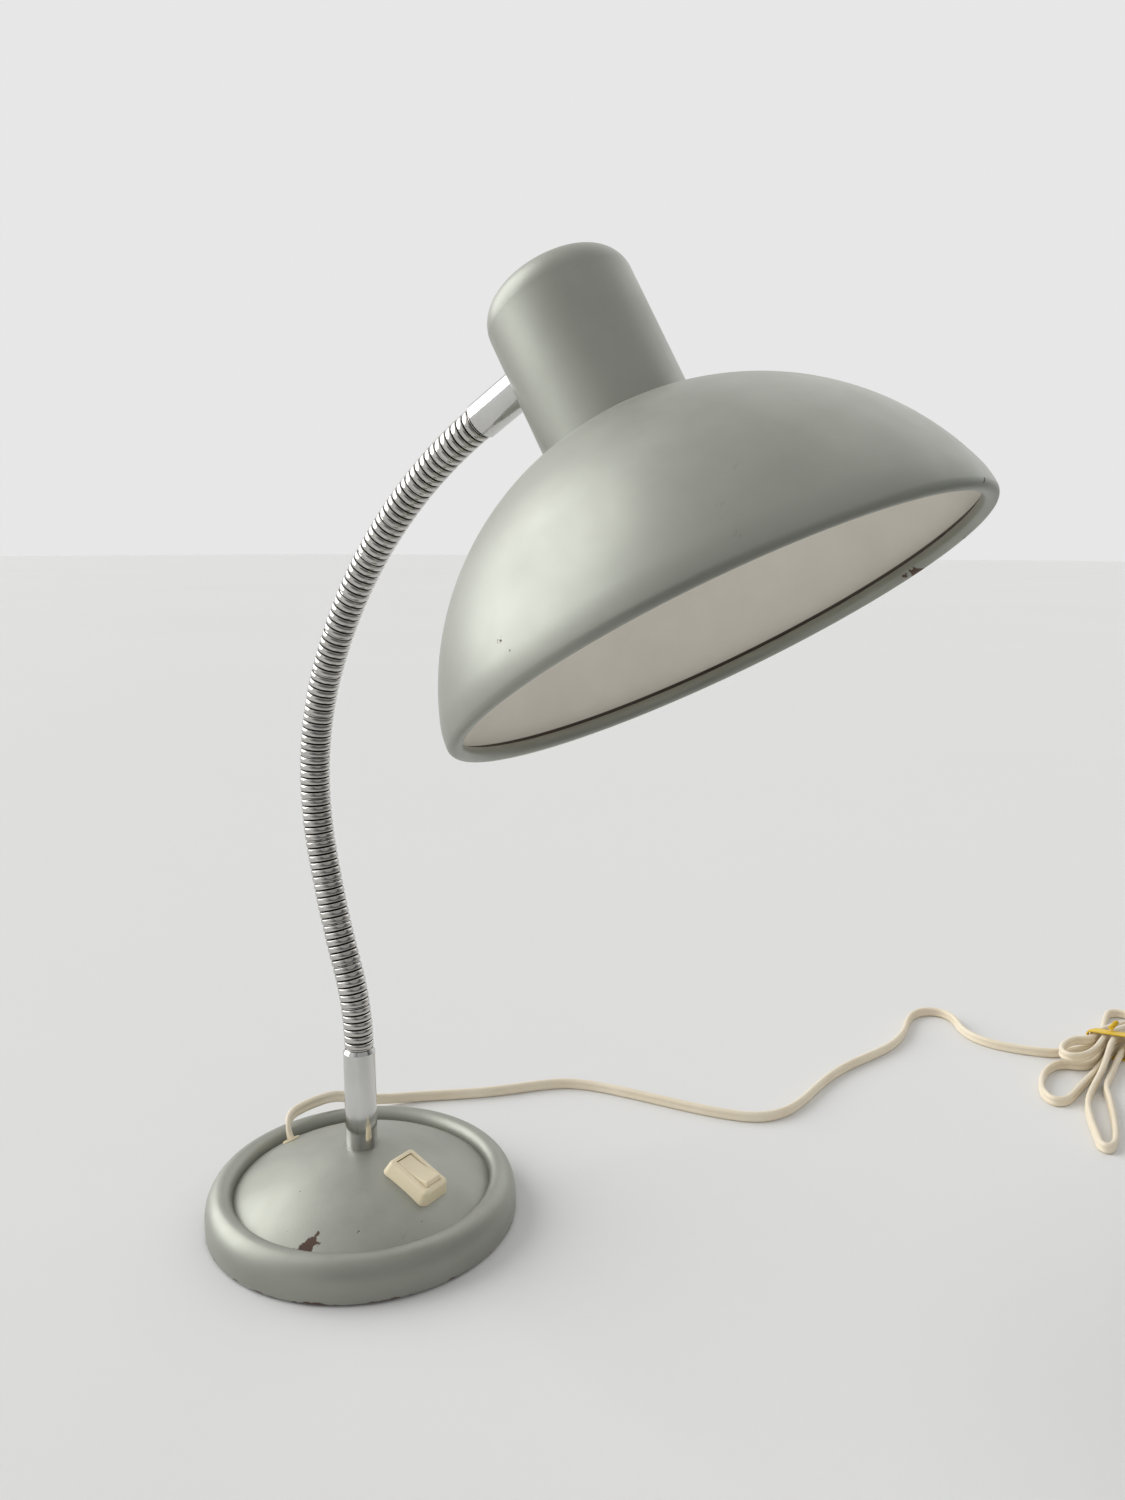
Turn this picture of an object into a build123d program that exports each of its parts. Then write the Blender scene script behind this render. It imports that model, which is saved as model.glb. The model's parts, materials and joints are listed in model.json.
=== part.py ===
"""Gooseneck desk lamp with a pressed steel base, a domed shade and a rocker switch in its foot.

The lamp stands at the origin on the table, with +Z up. Its ribbed neck bends in the XZ plane and
carries the head towards +X. A flat twin cord leaves the rear of the base and ends in a tied hank.
All sizes are in millimetres and all angles in degrees.
"""

import os
from math import asin, atan2, cos, degrees, hypot, pi, radians, sin, sqrt, tan

from build123d import *

os.makedirs("parts", exist_ok=True)

# Fits shared by all pieces
overrun = 4.0
seat_gap = 0.05
pin_gap = 0.05
loose_gap = 0.3
wall_gap = 0.4

# Base shell, a steel pressing with a rolled rim, a groove and a low dome
base_radius = 80.0
base_wall = 1.2
rim_shoulder_height = 8.0
rim_height = 21.0
rim_crest_radius = 71.5
groove_radius = 66.0
groove_height = 15.0
dome_top_height = 37.5
dome_land_radius = 9.5
dome_bulge_radius = 150.0

# Felt pad and bottom cover
pad_thickness = 1.5
pad_inset = 6.0
cover_thickness = 1.2
cover_screw_count = 3
cover_screw_circle = 45.0
cover_screw_radius = 1.6
cover_screw_length = 8.0
cover_screw_turn = 60.0

# Cast weight with a pocket for the switch and a slot for the cord
weight_radius = 60.0
weight_top_height = 16.0
weight_chamfer = 5.0
hub_radius = 18.0
hub_height = 20.0
boss_radius = 9.0
pocket_margin = 3.0
pocket_floor = 3.0
slot_width = 7.0
slot_depth = 5.0
slot_end_radius = 23.0

# Threaded tubes, nuts and washer of the stem
nipple_radius = 5.0
nipple_bore_radius = 3.6
nut_across = 15.0
nut_thickness = 4.0
washer_radius = 10.0
washer_thickness = 1.0
lower_nipple_reach = 20.0

# Chrome end sleeves of the neck
sleeve_radius = 8.2
sleeve_chamfer = 1.0
lower_sleeve_length = 53.5
upper_sleeve_length = 26.0
upper_nipple_reach = 18.0

# Ribbed neck in short links, each stretch with its number of links and its turn towards +X
ribs_per_link = 6
rib_width = 3.22
rib_edge = 0.35
rib_crest_radius = 7.4
rib_root_radius = 6.6
groove_floor = 0.3
link_end_radius = 5.2
link_bore_radius = 4.2
joint_gap = 0.95
neck_stretches = ((2, -18.8), (3, 8.8), (4, 31.6), (4, 21.9), (3, 16.5))

# Shade, measured from its rim plane up its own axis
shade_radius = 111.6
shade_wall = 0.8
shade_bead_radius = 3.1
shade_bead_turn = 270.0
shade_lip_radius = 32.7
shade_lip_turn = 16.3
shade_dome_radius = 113.0
shade_land_radius = 26.0

# Head cap that covers the lampholder
cap_radius = 31.2
cap_wall = 0.8
cap_top_height = 161.9
cap_edge_radius = 12.0
cap_crown_turn = 6.0
stem_height = 134.0

# Bracket that hangs the lampholder from the stem
bracket_width = 14.0
bracket_thickness = 1.5
bracket_foot = 9.0
bracket_plate_height = 146.0
bracket_plate_reach = 9.0

# Lampholder, its brass insert, its shade ring and the bulb
holder_radius = 19.5
holder_wall = 5.6
holder_mouth_drop = 7.0
holder_length = 46.0
holder_neck_radius = 12.0
holder_taper = 9.0
holder_floor = 14.0
holder_flange_radius = 24.0
holder_flange_thickness = 3.0
holder_nipple_grip = 8.0
holder_nut_across = 14.0
holder_nut_thickness = 3.0
ring_width = 4.0
ring_thickness = 3.5
insert_wall = 0.5
insert_lip = 2.5
contact_radius = 4.0
contact_height = 2.2
bulb_cap_radius = 13.1
bulb_cap_length = 25.0
bulb_cap_wall = 0.8
bulb_cap_floor = 4.0
bulb_tip_radius = 4.8
bulb_tip_height = 2.0
bulb_radius = 22.5
bulb_wall = 1.0
bulb_shoulder_angle = 52.0
bulb_seat = 6.0
bulb_drop = 50.0

# Rocker switch in the dome, long side along +X
switch_place = 37.3
bezel_length = 30.5
bezel_width = 20.5
bezel_height = 6.2
bezel_taper = 15.0
bezel_corner_radius = 4.2
bezel_edge_radius = 1.9
bezel_sink = 1.6
switch_body_length = 26.6
switch_body_width = 15.8
switch_body_depth = 15.0
switch_floor = 2.0
rocker_length = 20.0
rocker_width = 10.2
rocker_dip = 0.8
rocker_rise = 1.0
rocker_skirt = 2.9
rocker_depth = 4.0
rocker_foot_length = 15.0
rocker_edge_radius = 0.7
rocker_tilt = 8.0
rocker_swing_gap = 0.3
pivot_drop = 3.4
pin_radius = 1.0
pin_grip = 2.2
bridge_length = 15.0
bridge_width = 4.0
bridge_thickness = 0.6
blade_thickness = 0.8
blade_width = 4.8
blade_tail = 5.0
front_blade_place = 6.6

# Flat twin cord, drawn as a round tube of about the same section
cord_radius = 2.4
run_share = 0.45
grommet_place = 54.5
grommet_wall = 1.2
grommet_flange = 1.0
grommet_flange_height = 0.8
clamp_length = 26.0
clamp_width = 8.0
clamp_thickness = 2.0
clamp_place = 38.0
clamp_screw_spacing = 17.0
clamp_screw_radius = 1.5
clamp_screw_length = 7.0
clamp_head_radius = 2.8
clamp_head_height = 1.8

# Route of the cord inside the base, from the grommet to the switch
inner_drop = 9.5
inner_route = ((-30.0, 0.0, 13.5), (-23.0, 0.8, 19.8), (-16.5, 10.5, 23.4), (-3.0, 17.6, 25.4),
               (8.5, 12.0, 28.4))
entry_side = 4.5
entry_depth = 9.0
entry_run = 9.0

# Route of the free cord, from the grommet over the rim and along the table to the hank
cord_rise = 4.8
cord_route = ((-59.5, 2.3, 30.3), (-61.5, 7.0, 32.5), (-63.0, 16.8, 32.0), (-65.6, 30.0, 29.4),
              (-68.9, 44.0, 25.4), (-73.0, 58.0, 18.4), (-75.5, 72.0, 10.5), (-71.0, 88.0, 4.0),
              (-57.0, 106.0, 2.4), (-37.0, 124.0, 2.4), (-19.0, 142.5, 2.4), (-4.5, 162.0, 2.4),
              (9.5, 176.0, 2.4), (29.0, 183.0, 2.4), (56.0, 187.6, 2.4), (83.0, 191.4, 2.4),
              (109.0, 196.4, 2.4), (129.0, 204.0, 2.4), (140.0, 219.0, 2.4), (143.0, 241.0, 2.4),
              (142.6, 269.0, 2.4), (145.5, 298.0, 2.4), (153.5, 325.0, 2.4), (160.5, 350.0, 2.4),
              (160.8, 376.0, 2.4), (155.8, 398.0, 2.4), (154.5, 413.0, 2.4), (160.0, 426.0, 2.4),
              (172.0, 430.0, 2.4), (183.0, 422.5, 2.4), (190.0, 410.0, 2.4), (200.0, 400.0, 2.4),
              (214.5, 394.8, 2.4), (232.0, 396.6, 2.4), (248.0, 401.2, 2.4))

# Tied hank: the tie, the strand slots in it and the loops that fan out in front and behind
hank_start = (257.0, 405.6, 2.4)
tie_place = (283.0, 430.0)
tie_bearing = 84.0
tie_width = 6.0
tie_thickness = 1.4
tie_corner_radius = 3.0
strand_step = 5.7
bundle_height = 4.3
plug_bearing = -86.0
plug_place = (331.0, 424.0)
plug_height = 7.2
hank_loops = (
    # slot it leaves, slot it returns to, reach from the tie, bearing, half width, side, height
    ((-1, 0), (-1, 1), 84.0, 90.0, 11.0, 1, cord_radius),
    ((-1, 1), (0, 1), 40.0, -128.0, 11.0, -1, 9.6),
    ((0, 1), (0, 0), 82.0, 68.0, 10.0, 1, cord_radius),
    ((0, 0), (1, 0), 98.0, -105.0, 15.0, -1, cord_radius),
    ((1, 0), (1, 1), 76.0, 44.0, 11.0, 1, cord_radius),
    ((1, 1), (2, 0), 142.0, -80.0, 10.0, -1, cord_radius),
)
gap_sample_step = 2.0
gap_skip_length = 24.0

# Two-pin plug
plug_body_length = 36.0
plug_body_width = 26.0
plug_body_thickness = 13.6
plug_nose_width = 12.0
plug_shoulder_length = 14.0
plug_corner_radius = 3.0
plug_relief_length = 22.0
plug_relief_radius = 4.6
plug_relief_tip_radius = 3.2
plug_pin_radius = 2.0
plug_pin_length = 19.0
plug_pin_seat = 6.0
plug_pin_spacing = 18.6


def section_plane(origin, forward):
    """Plane in which local X runs along forward and local Y stands square to it, facing -Y."""
    return Plane(origin=origin, x_dir=forward, z_dir=(0, -1, 0))


def save(piece, label):
    """Label a finished piece and write it to its own file."""
    piece.part.label = label
    export_step(piece.part, f"parts/{label}.step")


# Dome of the base as one arc, from its land down to the groove
dome_chord = hypot(groove_radius - dome_land_radius, dome_top_height - groove_height)
dome_lean = atan2(dome_top_height - groove_height, groove_radius - dome_land_radius)
dome_depth = sqrt(dome_bulge_radius**2 - (dome_chord / 2) ** 2)
dome_centre_x = (groove_radius + dome_land_radius) / 2 - dome_depth * sin(dome_lean)
dome_centre_z = (groove_height + dome_top_height) / 2 - dome_depth * cos(dome_lean)


def dome_point(radius, bulge=dome_bulge_radius):
    """Point of the dome in the XZ plane at a distance from the lamp's axis."""
    return radius, dome_centre_z + sqrt(bulge**2 - (radius - dome_centre_x) ** 2)


def dome_plane(place):
    """Plane that touches the dome at x = place, with its X axis downhill along the lamp's plane."""
    side = 1 if place > 0 else -1
    radius, height = dome_point(abs(place))
    lean = atan2(radius - dome_centre_x, height - dome_centre_z)
    return Plane(origin=(place, 0, height), x_dir=(cos(lean), 0, -side * sin(lean)),
                 z_dir=(side * sin(lean), 0, cos(lean)))


# Heights in the stack under the dome
cover_height = pad_thickness
weight_height = pad_thickness + cover_thickness
dome_underside = dome_point(dome_land_radius, dome_bulge_radius - base_wall)[1]
weight_slot_floor = weight_top_height - slot_depth
recess_depth = nut_thickness + washer_thickness + loose_gap
switch_plane = dome_plane(switch_place)
grommet_plane = dome_plane(-grommet_place)
grommet_hole_radius = cord_radius + grommet_wall

# Neck: a chain of links on a path of tangent arcs that starts upright above the lower sleeve
link_length = ribs_per_link * rib_width + (ribs_per_link - 1) * groove_floor
link_pitch = link_length + joint_gap
link_count = sum(links for links, turn in neck_stretches)
lower_sleeve_top = dome_top_height + lower_sleeve_length
neck_foot = lower_sleeve_top + joint_gap / 2


def neck_station(distance):
    """Place and heading of the neck's centreline at a distance along it."""
    x, z, heading = 0.0, neck_foot, 0.0
    for links, turn in neck_stretches:
        length = links * link_pitch
        radius = length / radians(turn)
        run = min(distance, length)
        bend = run / radius
        x += radius * (cos(heading) - cos(heading + bend))
        z += radius * (sin(heading + bend) - sin(heading))
        heading += bend
        distance -= run
    return x, z, heading


def neck_plane(distance):
    """Plane square to the neck at a distance along it, with a steady X axis."""
    x, z, heading = neck_station(distance)
    return Plane(origin=(x, 0, z), x_dir=(0, 1, 0), z_dir=(sin(heading), 0, cos(heading)))


# Head: its own axis stands square to the end of the neck
neck_end_x, neck_end_z, neck_end_heading = neck_station(link_count * link_pitch)
head_forward = Vector(sin(neck_end_heading), 0, cos(neck_end_heading))
head_up = Vector(-cos(neck_end_heading), 0, sin(neck_end_heading))
neck_end = Vector(neck_end_x, 0, neck_end_z)
stem_reach = joint_gap / 2 + upper_sleeve_length + cap_radius
head_origin = neck_end + head_forward * stem_reach - head_up * stem_height
head_section = section_plane(head_origin, head_forward)
head_axis = Axis(head_origin, head_up)
stem_plane = Plane(origin=neck_end, x_dir=(0, 1, 0), z_dir=head_forward)

# Shade profile: a lip arc at the rim and a dome arc up to the land under the cap
shade_lip_angle = radians(shade_lip_turn)
shade_centre_x = shade_radius - shade_lip_radius * (1 - cos(shade_lip_angle))
shade_centre_x -= shade_dome_radius * cos(shade_lip_angle)
shade_centre_z = shade_bead_radius + (shade_lip_radius - shade_dome_radius) * sin(shade_lip_angle)


def shade_height(radius):
    """Height of the shade's outside above its rim plane, on the dome arc."""
    return shade_centre_z + sqrt(shade_dome_radius**2 - (radius - shade_centre_x) ** 2)


shade_top = shade_height(shade_land_radius)
shade_hole_radius = holder_radius + wall_gap
cap_seat = shade_height(cap_radius - cap_wall) + seat_gap
holder_mouth = shade_top - shade_wall - holder_mouth_drop
holder_top = holder_mouth + holder_length


# Base shell
def rim_section(inset):
    """Lines of the base's section, moved inwards from its outside by inset."""
    side = Line((base_radius - inset, pad_thickness), (base_radius - inset, rim_shoulder_height))
    EllipticalCenterArc((rim_crest_radius, rim_shoulder_height), base_radius - rim_crest_radius - inset,
                        rim_height - rim_shoulder_height - inset, arc_size=90)
    EllipticalCenterArc((rim_crest_radius, groove_height), rim_crest_radius - groove_radius - inset,
                        rim_height - groove_height - inset, start_angle=90, arc_size=90)
    foot = dome_point(groove_radius + inset, dome_bulge_radius - inset)
    land = dome_point(dome_land_radius, dome_bulge_radius - inset)
    if inset:
        Line((foot[0], groove_height), foot)
    RadiusArc(foot, land, -(dome_bulge_radius - inset))
    return side @ 0, land


with BuildPart() as base_shell:
    with BuildSketch(Plane.XZ):
        with BuildLine():
            outer_edge, outer_land = rim_section(0)
            inner_edge, inner_land = rim_section(base_wall)
            Line(outer_edge, inner_edge)
            Polyline(outer_land, (nipple_radius + seat_gap, dome_top_height),
                     (nipple_radius + seat_gap, dome_underside), inner_land)
        make_face()
    revolve(axis=Axis.Z)
    with BuildSketch(switch_plane):
        Rectangle(switch_body_length + wall_gap, switch_body_width + wall_gap)
    extrude(amount=overrun, both=True, mode=Mode.SUBTRACT)
    with BuildSketch(grommet_plane):
        Circle(grommet_hole_radius + seat_gap)
    extrude(amount=overrun, both=True, mode=Mode.SUBTRACT)
save(base_shell, "base_shell")

# Felt pad under the base
with BuildPart() as foot_pad:
    with BuildSketch():
        Circle(base_radius - pad_inset)
    extrude(amount=pad_thickness)
save(foot_pad, "foot_pad")

# Bottom cover, held by screws that the pad hides
with BuildPart() as base_cover:
    with BuildSketch(Plane.XY.offset(cover_height)):
        Circle(base_radius - base_wall - wall_gap)
        with PolarLocations(cover_screw_circle, cover_screw_count, cover_screw_turn):
            Circle(cover_screw_radius + seat_gap, mode=Mode.SUBTRACT)
    extrude(amount=cover_thickness)
save(base_cover, "base_cover")

with BuildPart() as cover_screws:
    with BuildSketch(Plane.XY.offset(cover_height)):
        with PolarLocations(cover_screw_circle, cover_screw_count, cover_screw_turn):
            Circle(cover_screw_radius)
    extrude(amount=cover_screw_length)
save(cover_screws, "cover_screws")

# Cast weight, clamped between the dome's underside and the nut
with BuildPart() as base_weight:
    with BuildSketch(Plane.XZ):
        with BuildLine():
            Polyline((nipple_radius + seat_gap, weight_height + recess_depth),
                     (washer_radius + wall_gap, weight_height + recess_depth),
                     (washer_radius + wall_gap, weight_height),
                     (weight_radius, weight_height),
                     (weight_radius, weight_top_height - weight_chamfer),
                     (weight_radius - weight_chamfer * 2, weight_top_height),
                     (hub_radius, weight_top_height), (hub_radius, hub_height), (boss_radius, hub_height),
                     (boss_radius, dome_underside), (nipple_radius + seat_gap, dome_underside), close=True)
        make_face()
    revolve(axis=Axis.Z)
    with BuildSketch(Plane.XY.offset(weight_height + pocket_floor)):
        with Locations((switch_place - pocket_margin, 0)):
            Rectangle(bezel_length + pocket_margin, bezel_width)
    extrude(amount=dome_top_height, mode=Mode.SUBTRACT)
    with BuildSketch(Plane.XY.offset(weight_slot_floor)):
        with Locations((-slot_end_radius - weight_radius / 2, 0)):
            Rectangle(weight_radius, slot_width)
    extrude(amount=dome_top_height, mode=Mode.SUBTRACT)
    with BuildSketch(Plane.XY.offset(weight_height)):
        with PolarLocations(cover_screw_circle, cover_screw_count, cover_screw_turn):
            Circle(cover_screw_radius + seat_gap)
    extrude(amount=cover_screw_length - cover_thickness + loose_gap, mode=Mode.SUBTRACT)
    with BuildSketch(Plane.XY.offset(weight_top_height)):
        with Locations((-clamp_place, 0)):
            with GridLocations(0, clamp_screw_spacing, 1, 2):
                Circle(clamp_screw_radius + seat_gap)
    extrude(amount=-clamp_screw_length, mode=Mode.SUBTRACT)
save(base_weight, "base_weight")

# Washer, nut and threaded tube that pull the base together
nut_height = weight_height + loose_gap
with BuildPart() as base_washer:
    with BuildSketch(Plane.XY.offset(nut_height + nut_thickness)):
        Circle(washer_radius)
        Circle(nipple_radius + seat_gap, mode=Mode.SUBTRACT)
    extrude(amount=washer_thickness)
save(base_washer, "base_washer")

with BuildPart() as base_nut:
    with BuildSketch(Plane.XY.offset(nut_height)):
        RegularPolygon(nut_across / 2, 6, major_radius=False)
        Circle(nipple_radius + seat_gap, mode=Mode.SUBTRACT)
    extrude(amount=nut_thickness)
save(base_nut, "base_nut")

with BuildPart() as lower_nipple:
    with BuildSketch(Plane.XY.offset(nut_height)):
        Circle(nipple_radius)
        Circle(nipple_bore_radius, mode=Mode.SUBTRACT)
    extrude(amount=dome_top_height + lower_nipple_reach - nut_height)
save(lower_nipple, "lower_nipple")

# Lower chrome sleeve, screwed on the threaded tube
with BuildPart() as lower_sleeve:
    with BuildSketch(Plane.XY.offset(dome_top_height)):
        Circle(sleeve_radius)
        Circle(link_bore_radius, mode=Mode.SUBTRACT)
    extrude(amount=lower_sleeve_length)
    chamfer(lower_sleeve.edges().filter_by(GeomType.CIRCLE).group_by(Axis.Z)[-1].sort_by(SortBy.RADIUS)[-1],
            length=sleeve_chamfer * 2, length2=sleeve_chamfer)
    with BuildSketch(Plane.XY.offset(dome_top_height)):
        Circle(nipple_radius + seat_gap)
    extrude(amount=lower_nipple_reach + loose_gap, mode=Mode.SUBTRACT)
save(lower_sleeve, "lower_sleeve")


# Neck links: each rib is a ruled loft through four circles
def link_circles(start):
    """Distance along the neck and radius of every circle of the link that begins at start."""
    circles = []
    for rib in range(ribs_per_link):
        rib_start = start + rib * (rib_width + groove_floor)
        rib_end = rib_start + rib_width
        first_radius = link_end_radius if rib == 0 else rib_root_radius
        last_radius = link_end_radius if rib == ribs_per_link - 1 else rib_root_radius
        circles += [(rib_start, first_radius), (rib_start + rib_edge, rib_crest_radius),
                    (rib_end - rib_edge, rib_crest_radius), (rib_end, last_radius)]
    return circles


for link in range(link_count):
    with BuildPart() as neck_link:
        for distance, radius in link_circles(link * link_pitch + joint_gap / 2):
            with BuildSketch(neck_plane(distance)):
                Circle(radius)
                Circle(link_bore_radius, mode=Mode.SUBTRACT)
        loft(ruled=True)
    save(neck_link, f"neck_link_{link + 1:02d}")

# Upper chrome sleeve, cut to the round of the cap
with BuildPart() as upper_sleeve:
    with BuildSketch(stem_plane.offset(joint_gap / 2)):
        Circle(sleeve_radius)
        Circle(link_bore_radius, mode=Mode.SUBTRACT)
    extrude(amount=upper_sleeve_length + sleeve_radius)
    chamfer(upper_sleeve.edges().filter_by(GeomType.CIRCLE).sort_by(Axis(neck_end, head_forward))[:2]
            .sort_by(SortBy.RADIUS)[-1], length=sleeve_chamfer, length2=sleeve_chamfer * 2)
    with BuildSketch(stem_plane.offset(joint_gap / 2 + upper_sleeve_length - upper_nipple_reach - loose_gap)):
        Circle(nipple_radius + seat_gap)
    extrude(amount=upper_nipple_reach + sleeve_radius + overrun, mode=Mode.SUBTRACT)
    with BuildSketch(Plane(head_origin, x_dir=head_forward, z_dir=head_up)):
        Circle(cap_radius + seat_gap)
    extrude(amount=cap_top_height, mode=Mode.SUBTRACT)
save(upper_sleeve, "upper_sleeve")

# Bracket against the inside of the cap; its flat back touches the round wall at its two edges
bracket_back = sqrt((cap_radius - cap_wall - seat_gap) ** 2 - (bracket_width / 2) ** 2)
upper_nipple_end = bracket_back - bracket_thickness - nut_thickness
with BuildPart() as upper_nipple:
    with BuildSketch(stem_plane.offset(joint_gap / 2 + upper_sleeve_length - upper_nipple_reach)):
        Circle(nipple_radius)
        Circle(nipple_bore_radius, mode=Mode.SUBTRACT)
    extrude(amount=upper_nipple_reach + cap_radius - upper_nipple_end + seat_gap)
save(upper_nipple, "upper_nipple")

with BuildPart() as upper_nut:
    with BuildSketch(stem_plane.offset(stem_reach - bracket_back + bracket_thickness)):
        RegularPolygon(nut_across / 2, 6, major_radius=False)
        Circle(nipple_radius + seat_gap, mode=Mode.SUBTRACT)
    extrude(amount=nut_thickness)
save(upper_nut, "upper_nut")

with BuildPart() as holder_bracket:
    with BuildSketch(head_section):
        with BuildLine():
            Polyline((-bracket_back, stem_height - bracket_foot),
                     (-bracket_back, bracket_plate_height + bracket_thickness),
                     (bracket_plate_reach, bracket_plate_height + bracket_thickness),
                     (bracket_plate_reach, bracket_plate_height),
                     (bracket_thickness - bracket_back, bracket_plate_height),
                     (bracket_thickness - bracket_back, stem_height - bracket_foot), close=True)
        make_face()
    extrude(amount=bracket_width / 2, both=True)
    with BuildSketch(stem_plane.offset(stem_reach - cap_radius)):
        Circle(nipple_radius + seat_gap)
    extrude(amount=cap_radius, mode=Mode.SUBTRACT)
    with BuildSketch(Plane(head_origin, x_dir=head_forward, z_dir=head_up).offset(stem_height)):
        Circle(nipple_radius + seat_gap)
    extrude(amount=cap_top_height - stem_height, mode=Mode.SUBTRACT)
save(holder_bracket, "holder_bracket")

# Head cap, a drawn cup with a rounded edge and a slight crown
cap_crown_angle = radians(cap_crown_turn)


def cap_section(inset):
    """Lines of the cap's section from its seat to its crown, moved inwards by inset."""
    radius = cap_edge_radius - inset
    edge_x = cap_radius - cap_edge_radius
    crown_radius = edge_x / sin(cap_crown_angle) + radius
    edge_z = cap_top_height - inset - crown_radius + (crown_radius - radius) * cos(cap_crown_angle)
    side = Line((cap_radius - inset, cap_seat), (cap_radius - inset, edge_z))
    edge = CenterArc((edge_x, edge_z), radius, 0, 90 - cap_crown_turn)
    top = (0, cap_top_height - inset)
    RadiusArc(edge @ 1, top, -crown_radius)
    return side @ 0, top


with BuildPart() as head_cap:
    with BuildSketch(head_section):
        with BuildLine():
            outer_foot, outer_top = cap_section(0)
            inner_foot, inner_top = cap_section(cap_wall)
            Line(outer_foot, inner_foot)
            Line(outer_top, inner_top)
        make_face()
    revolve(axis=head_axis)
    with BuildSketch(stem_plane.offset(stem_reach - cap_radius - overrun)):
        Circle(nipple_radius + seat_gap)
    extrude(amount=cap_radius, mode=Mode.SUBTRACT)
save(head_cap, "head_cap")


# Shade with a rolled rim and a flat land that the lampholder clamps
def shade_section(inset):
    """Lines of the shade's section from its rolled rim to its hole, moved inwards by inset."""
    rolled = CenterArc((shade_radius - shade_bead_radius, shade_bead_radius), shade_bead_radius - inset,
                       0, -shade_bead_turn)
    lip = JernArc((shade_radius - inset, shade_bead_radius), (0, 1), shade_lip_radius - inset, shade_lip_turn)
    dome_radius = shade_dome_radius - inset
    land_angle = degrees(asin((shade_top - inset - shade_centre_z) / dome_radius))
    dome = JernArc(lip @ 1, lip % 1, dome_radius, land_angle - shade_lip_turn)
    land = (shade_hole_radius, shade_top - inset)
    Line(dome @ 1, land)
    return rolled @ 1, land


with BuildPart() as shade:
    with BuildSketch(head_section):
        with BuildLine():
            outer_roll, outer_land = shade_section(0)
            inner_roll, inner_land = shade_section(shade_wall)
            Line(outer_roll, inner_roll)
            Line(outer_land, inner_land)
        make_face()
    revolve(axis=head_axis)
save(shade, "shade")

# Lampholder, hung on a threaded tube under the bracket's plate
holder_nipple_top = bracket_plate_height + bracket_thickness + holder_nut_thickness
holder_floor_height = holder_top - holder_floor
holder_bore_radius = holder_radius - holder_wall
head_plane = Plane(head_origin, x_dir=head_forward, z_dir=head_up)

with BuildPart() as holder_nipple:
    with BuildSketch(head_plane.offset(holder_top - holder_nipple_grip)):
        Circle(nipple_radius)
        Circle(nipple_bore_radius, mode=Mode.SUBTRACT)
    extrude(amount=holder_nipple_top - holder_top + holder_nipple_grip)
save(holder_nipple, "holder_nipple")

with BuildPart() as holder_nuts:
    for height in (bracket_plate_height - holder_nut_thickness, bracket_plate_height + bracket_thickness):
        with BuildSketch(head_plane.offset(height)):
            RegularPolygon(holder_nut_across / 2, 6, major_radius=False)
            Circle(nipple_radius + seat_gap, mode=Mode.SUBTRACT)
        extrude(amount=holder_nut_thickness)
save(holder_nuts, "holder_nuts")

with BuildPart() as lampholder_body:
    with BuildSketch(head_section):
        with BuildLine():
            Polyline((holder_bore_radius, holder_mouth), (holder_radius, holder_mouth),
                     (holder_radius, shade_top), (holder_flange_radius, shade_top),
                     (holder_flange_radius, shade_top + holder_flange_thickness),
                     (holder_radius, shade_top + holder_flange_thickness),
                     (holder_radius, holder_top - holder_taper), (holder_neck_radius, holder_top),
                     (nipple_radius + seat_gap, holder_top),
                     (nipple_radius + seat_gap, holder_top - holder_nipple_grip),
                     (0, holder_top - holder_nipple_grip), (0, holder_floor_height),
                     (holder_bore_radius, holder_floor_height), close=True)
        make_face()
    revolve(axis=head_axis)
save(lampholder_body, "lampholder_body")

# Brass insert of the lampholder, with a lip that lies on its floor
insert_radius = holder_bore_radius - seat_gap
insert_bore_radius = insert_radius - insert_wall
with BuildPart() as lampholder_shell:
    with BuildSketch(head_section):
        with BuildLine():
            Polyline((insert_radius, holder_mouth + insert_wall), (insert_radius, holder_floor_height),
                     (insert_bore_radius - insert_lip, holder_floor_height),
                     (insert_bore_radius - insert_lip, holder_floor_height - insert_wall),
                     (insert_bore_radius, holder_floor_height - insert_wall),
                     (insert_bore_radius, holder_mouth + insert_wall), close=True)
        make_face()
    revolve(axis=head_axis)
save(lampholder_shell, "lampholder_shell")

with BuildPart() as centre_contact:
    with BuildSketch(head_plane.offset(holder_floor_height - contact_height)):
        Circle(contact_radius)
    extrude(amount=contact_height)
save(centre_contact, "centre_contact")

with BuildPart() as shade_ring:
    with BuildSketch(head_plane.offset(shade_top - shade_wall - ring_thickness)):
        Circle(holder_radius + ring_width)
        Circle(holder_radius + seat_gap, mode=Mode.SUBTRACT)
    extrude(amount=ring_thickness)
save(shade_ring, "shade_ring")

# Bulb: a metal cap that reaches the centre contact and a glass globe with its neck in the cap
bulb_cap_top = holder_floor_height - contact_height - bulb_tip_height
bulb_cap_foot = bulb_cap_top - bulb_cap_length
bulb_neck_radius = bulb_cap_radius - bulb_cap_wall - seat_gap
bulb_centre = bulb_cap_foot - bulb_drop + bulb_radius

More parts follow.
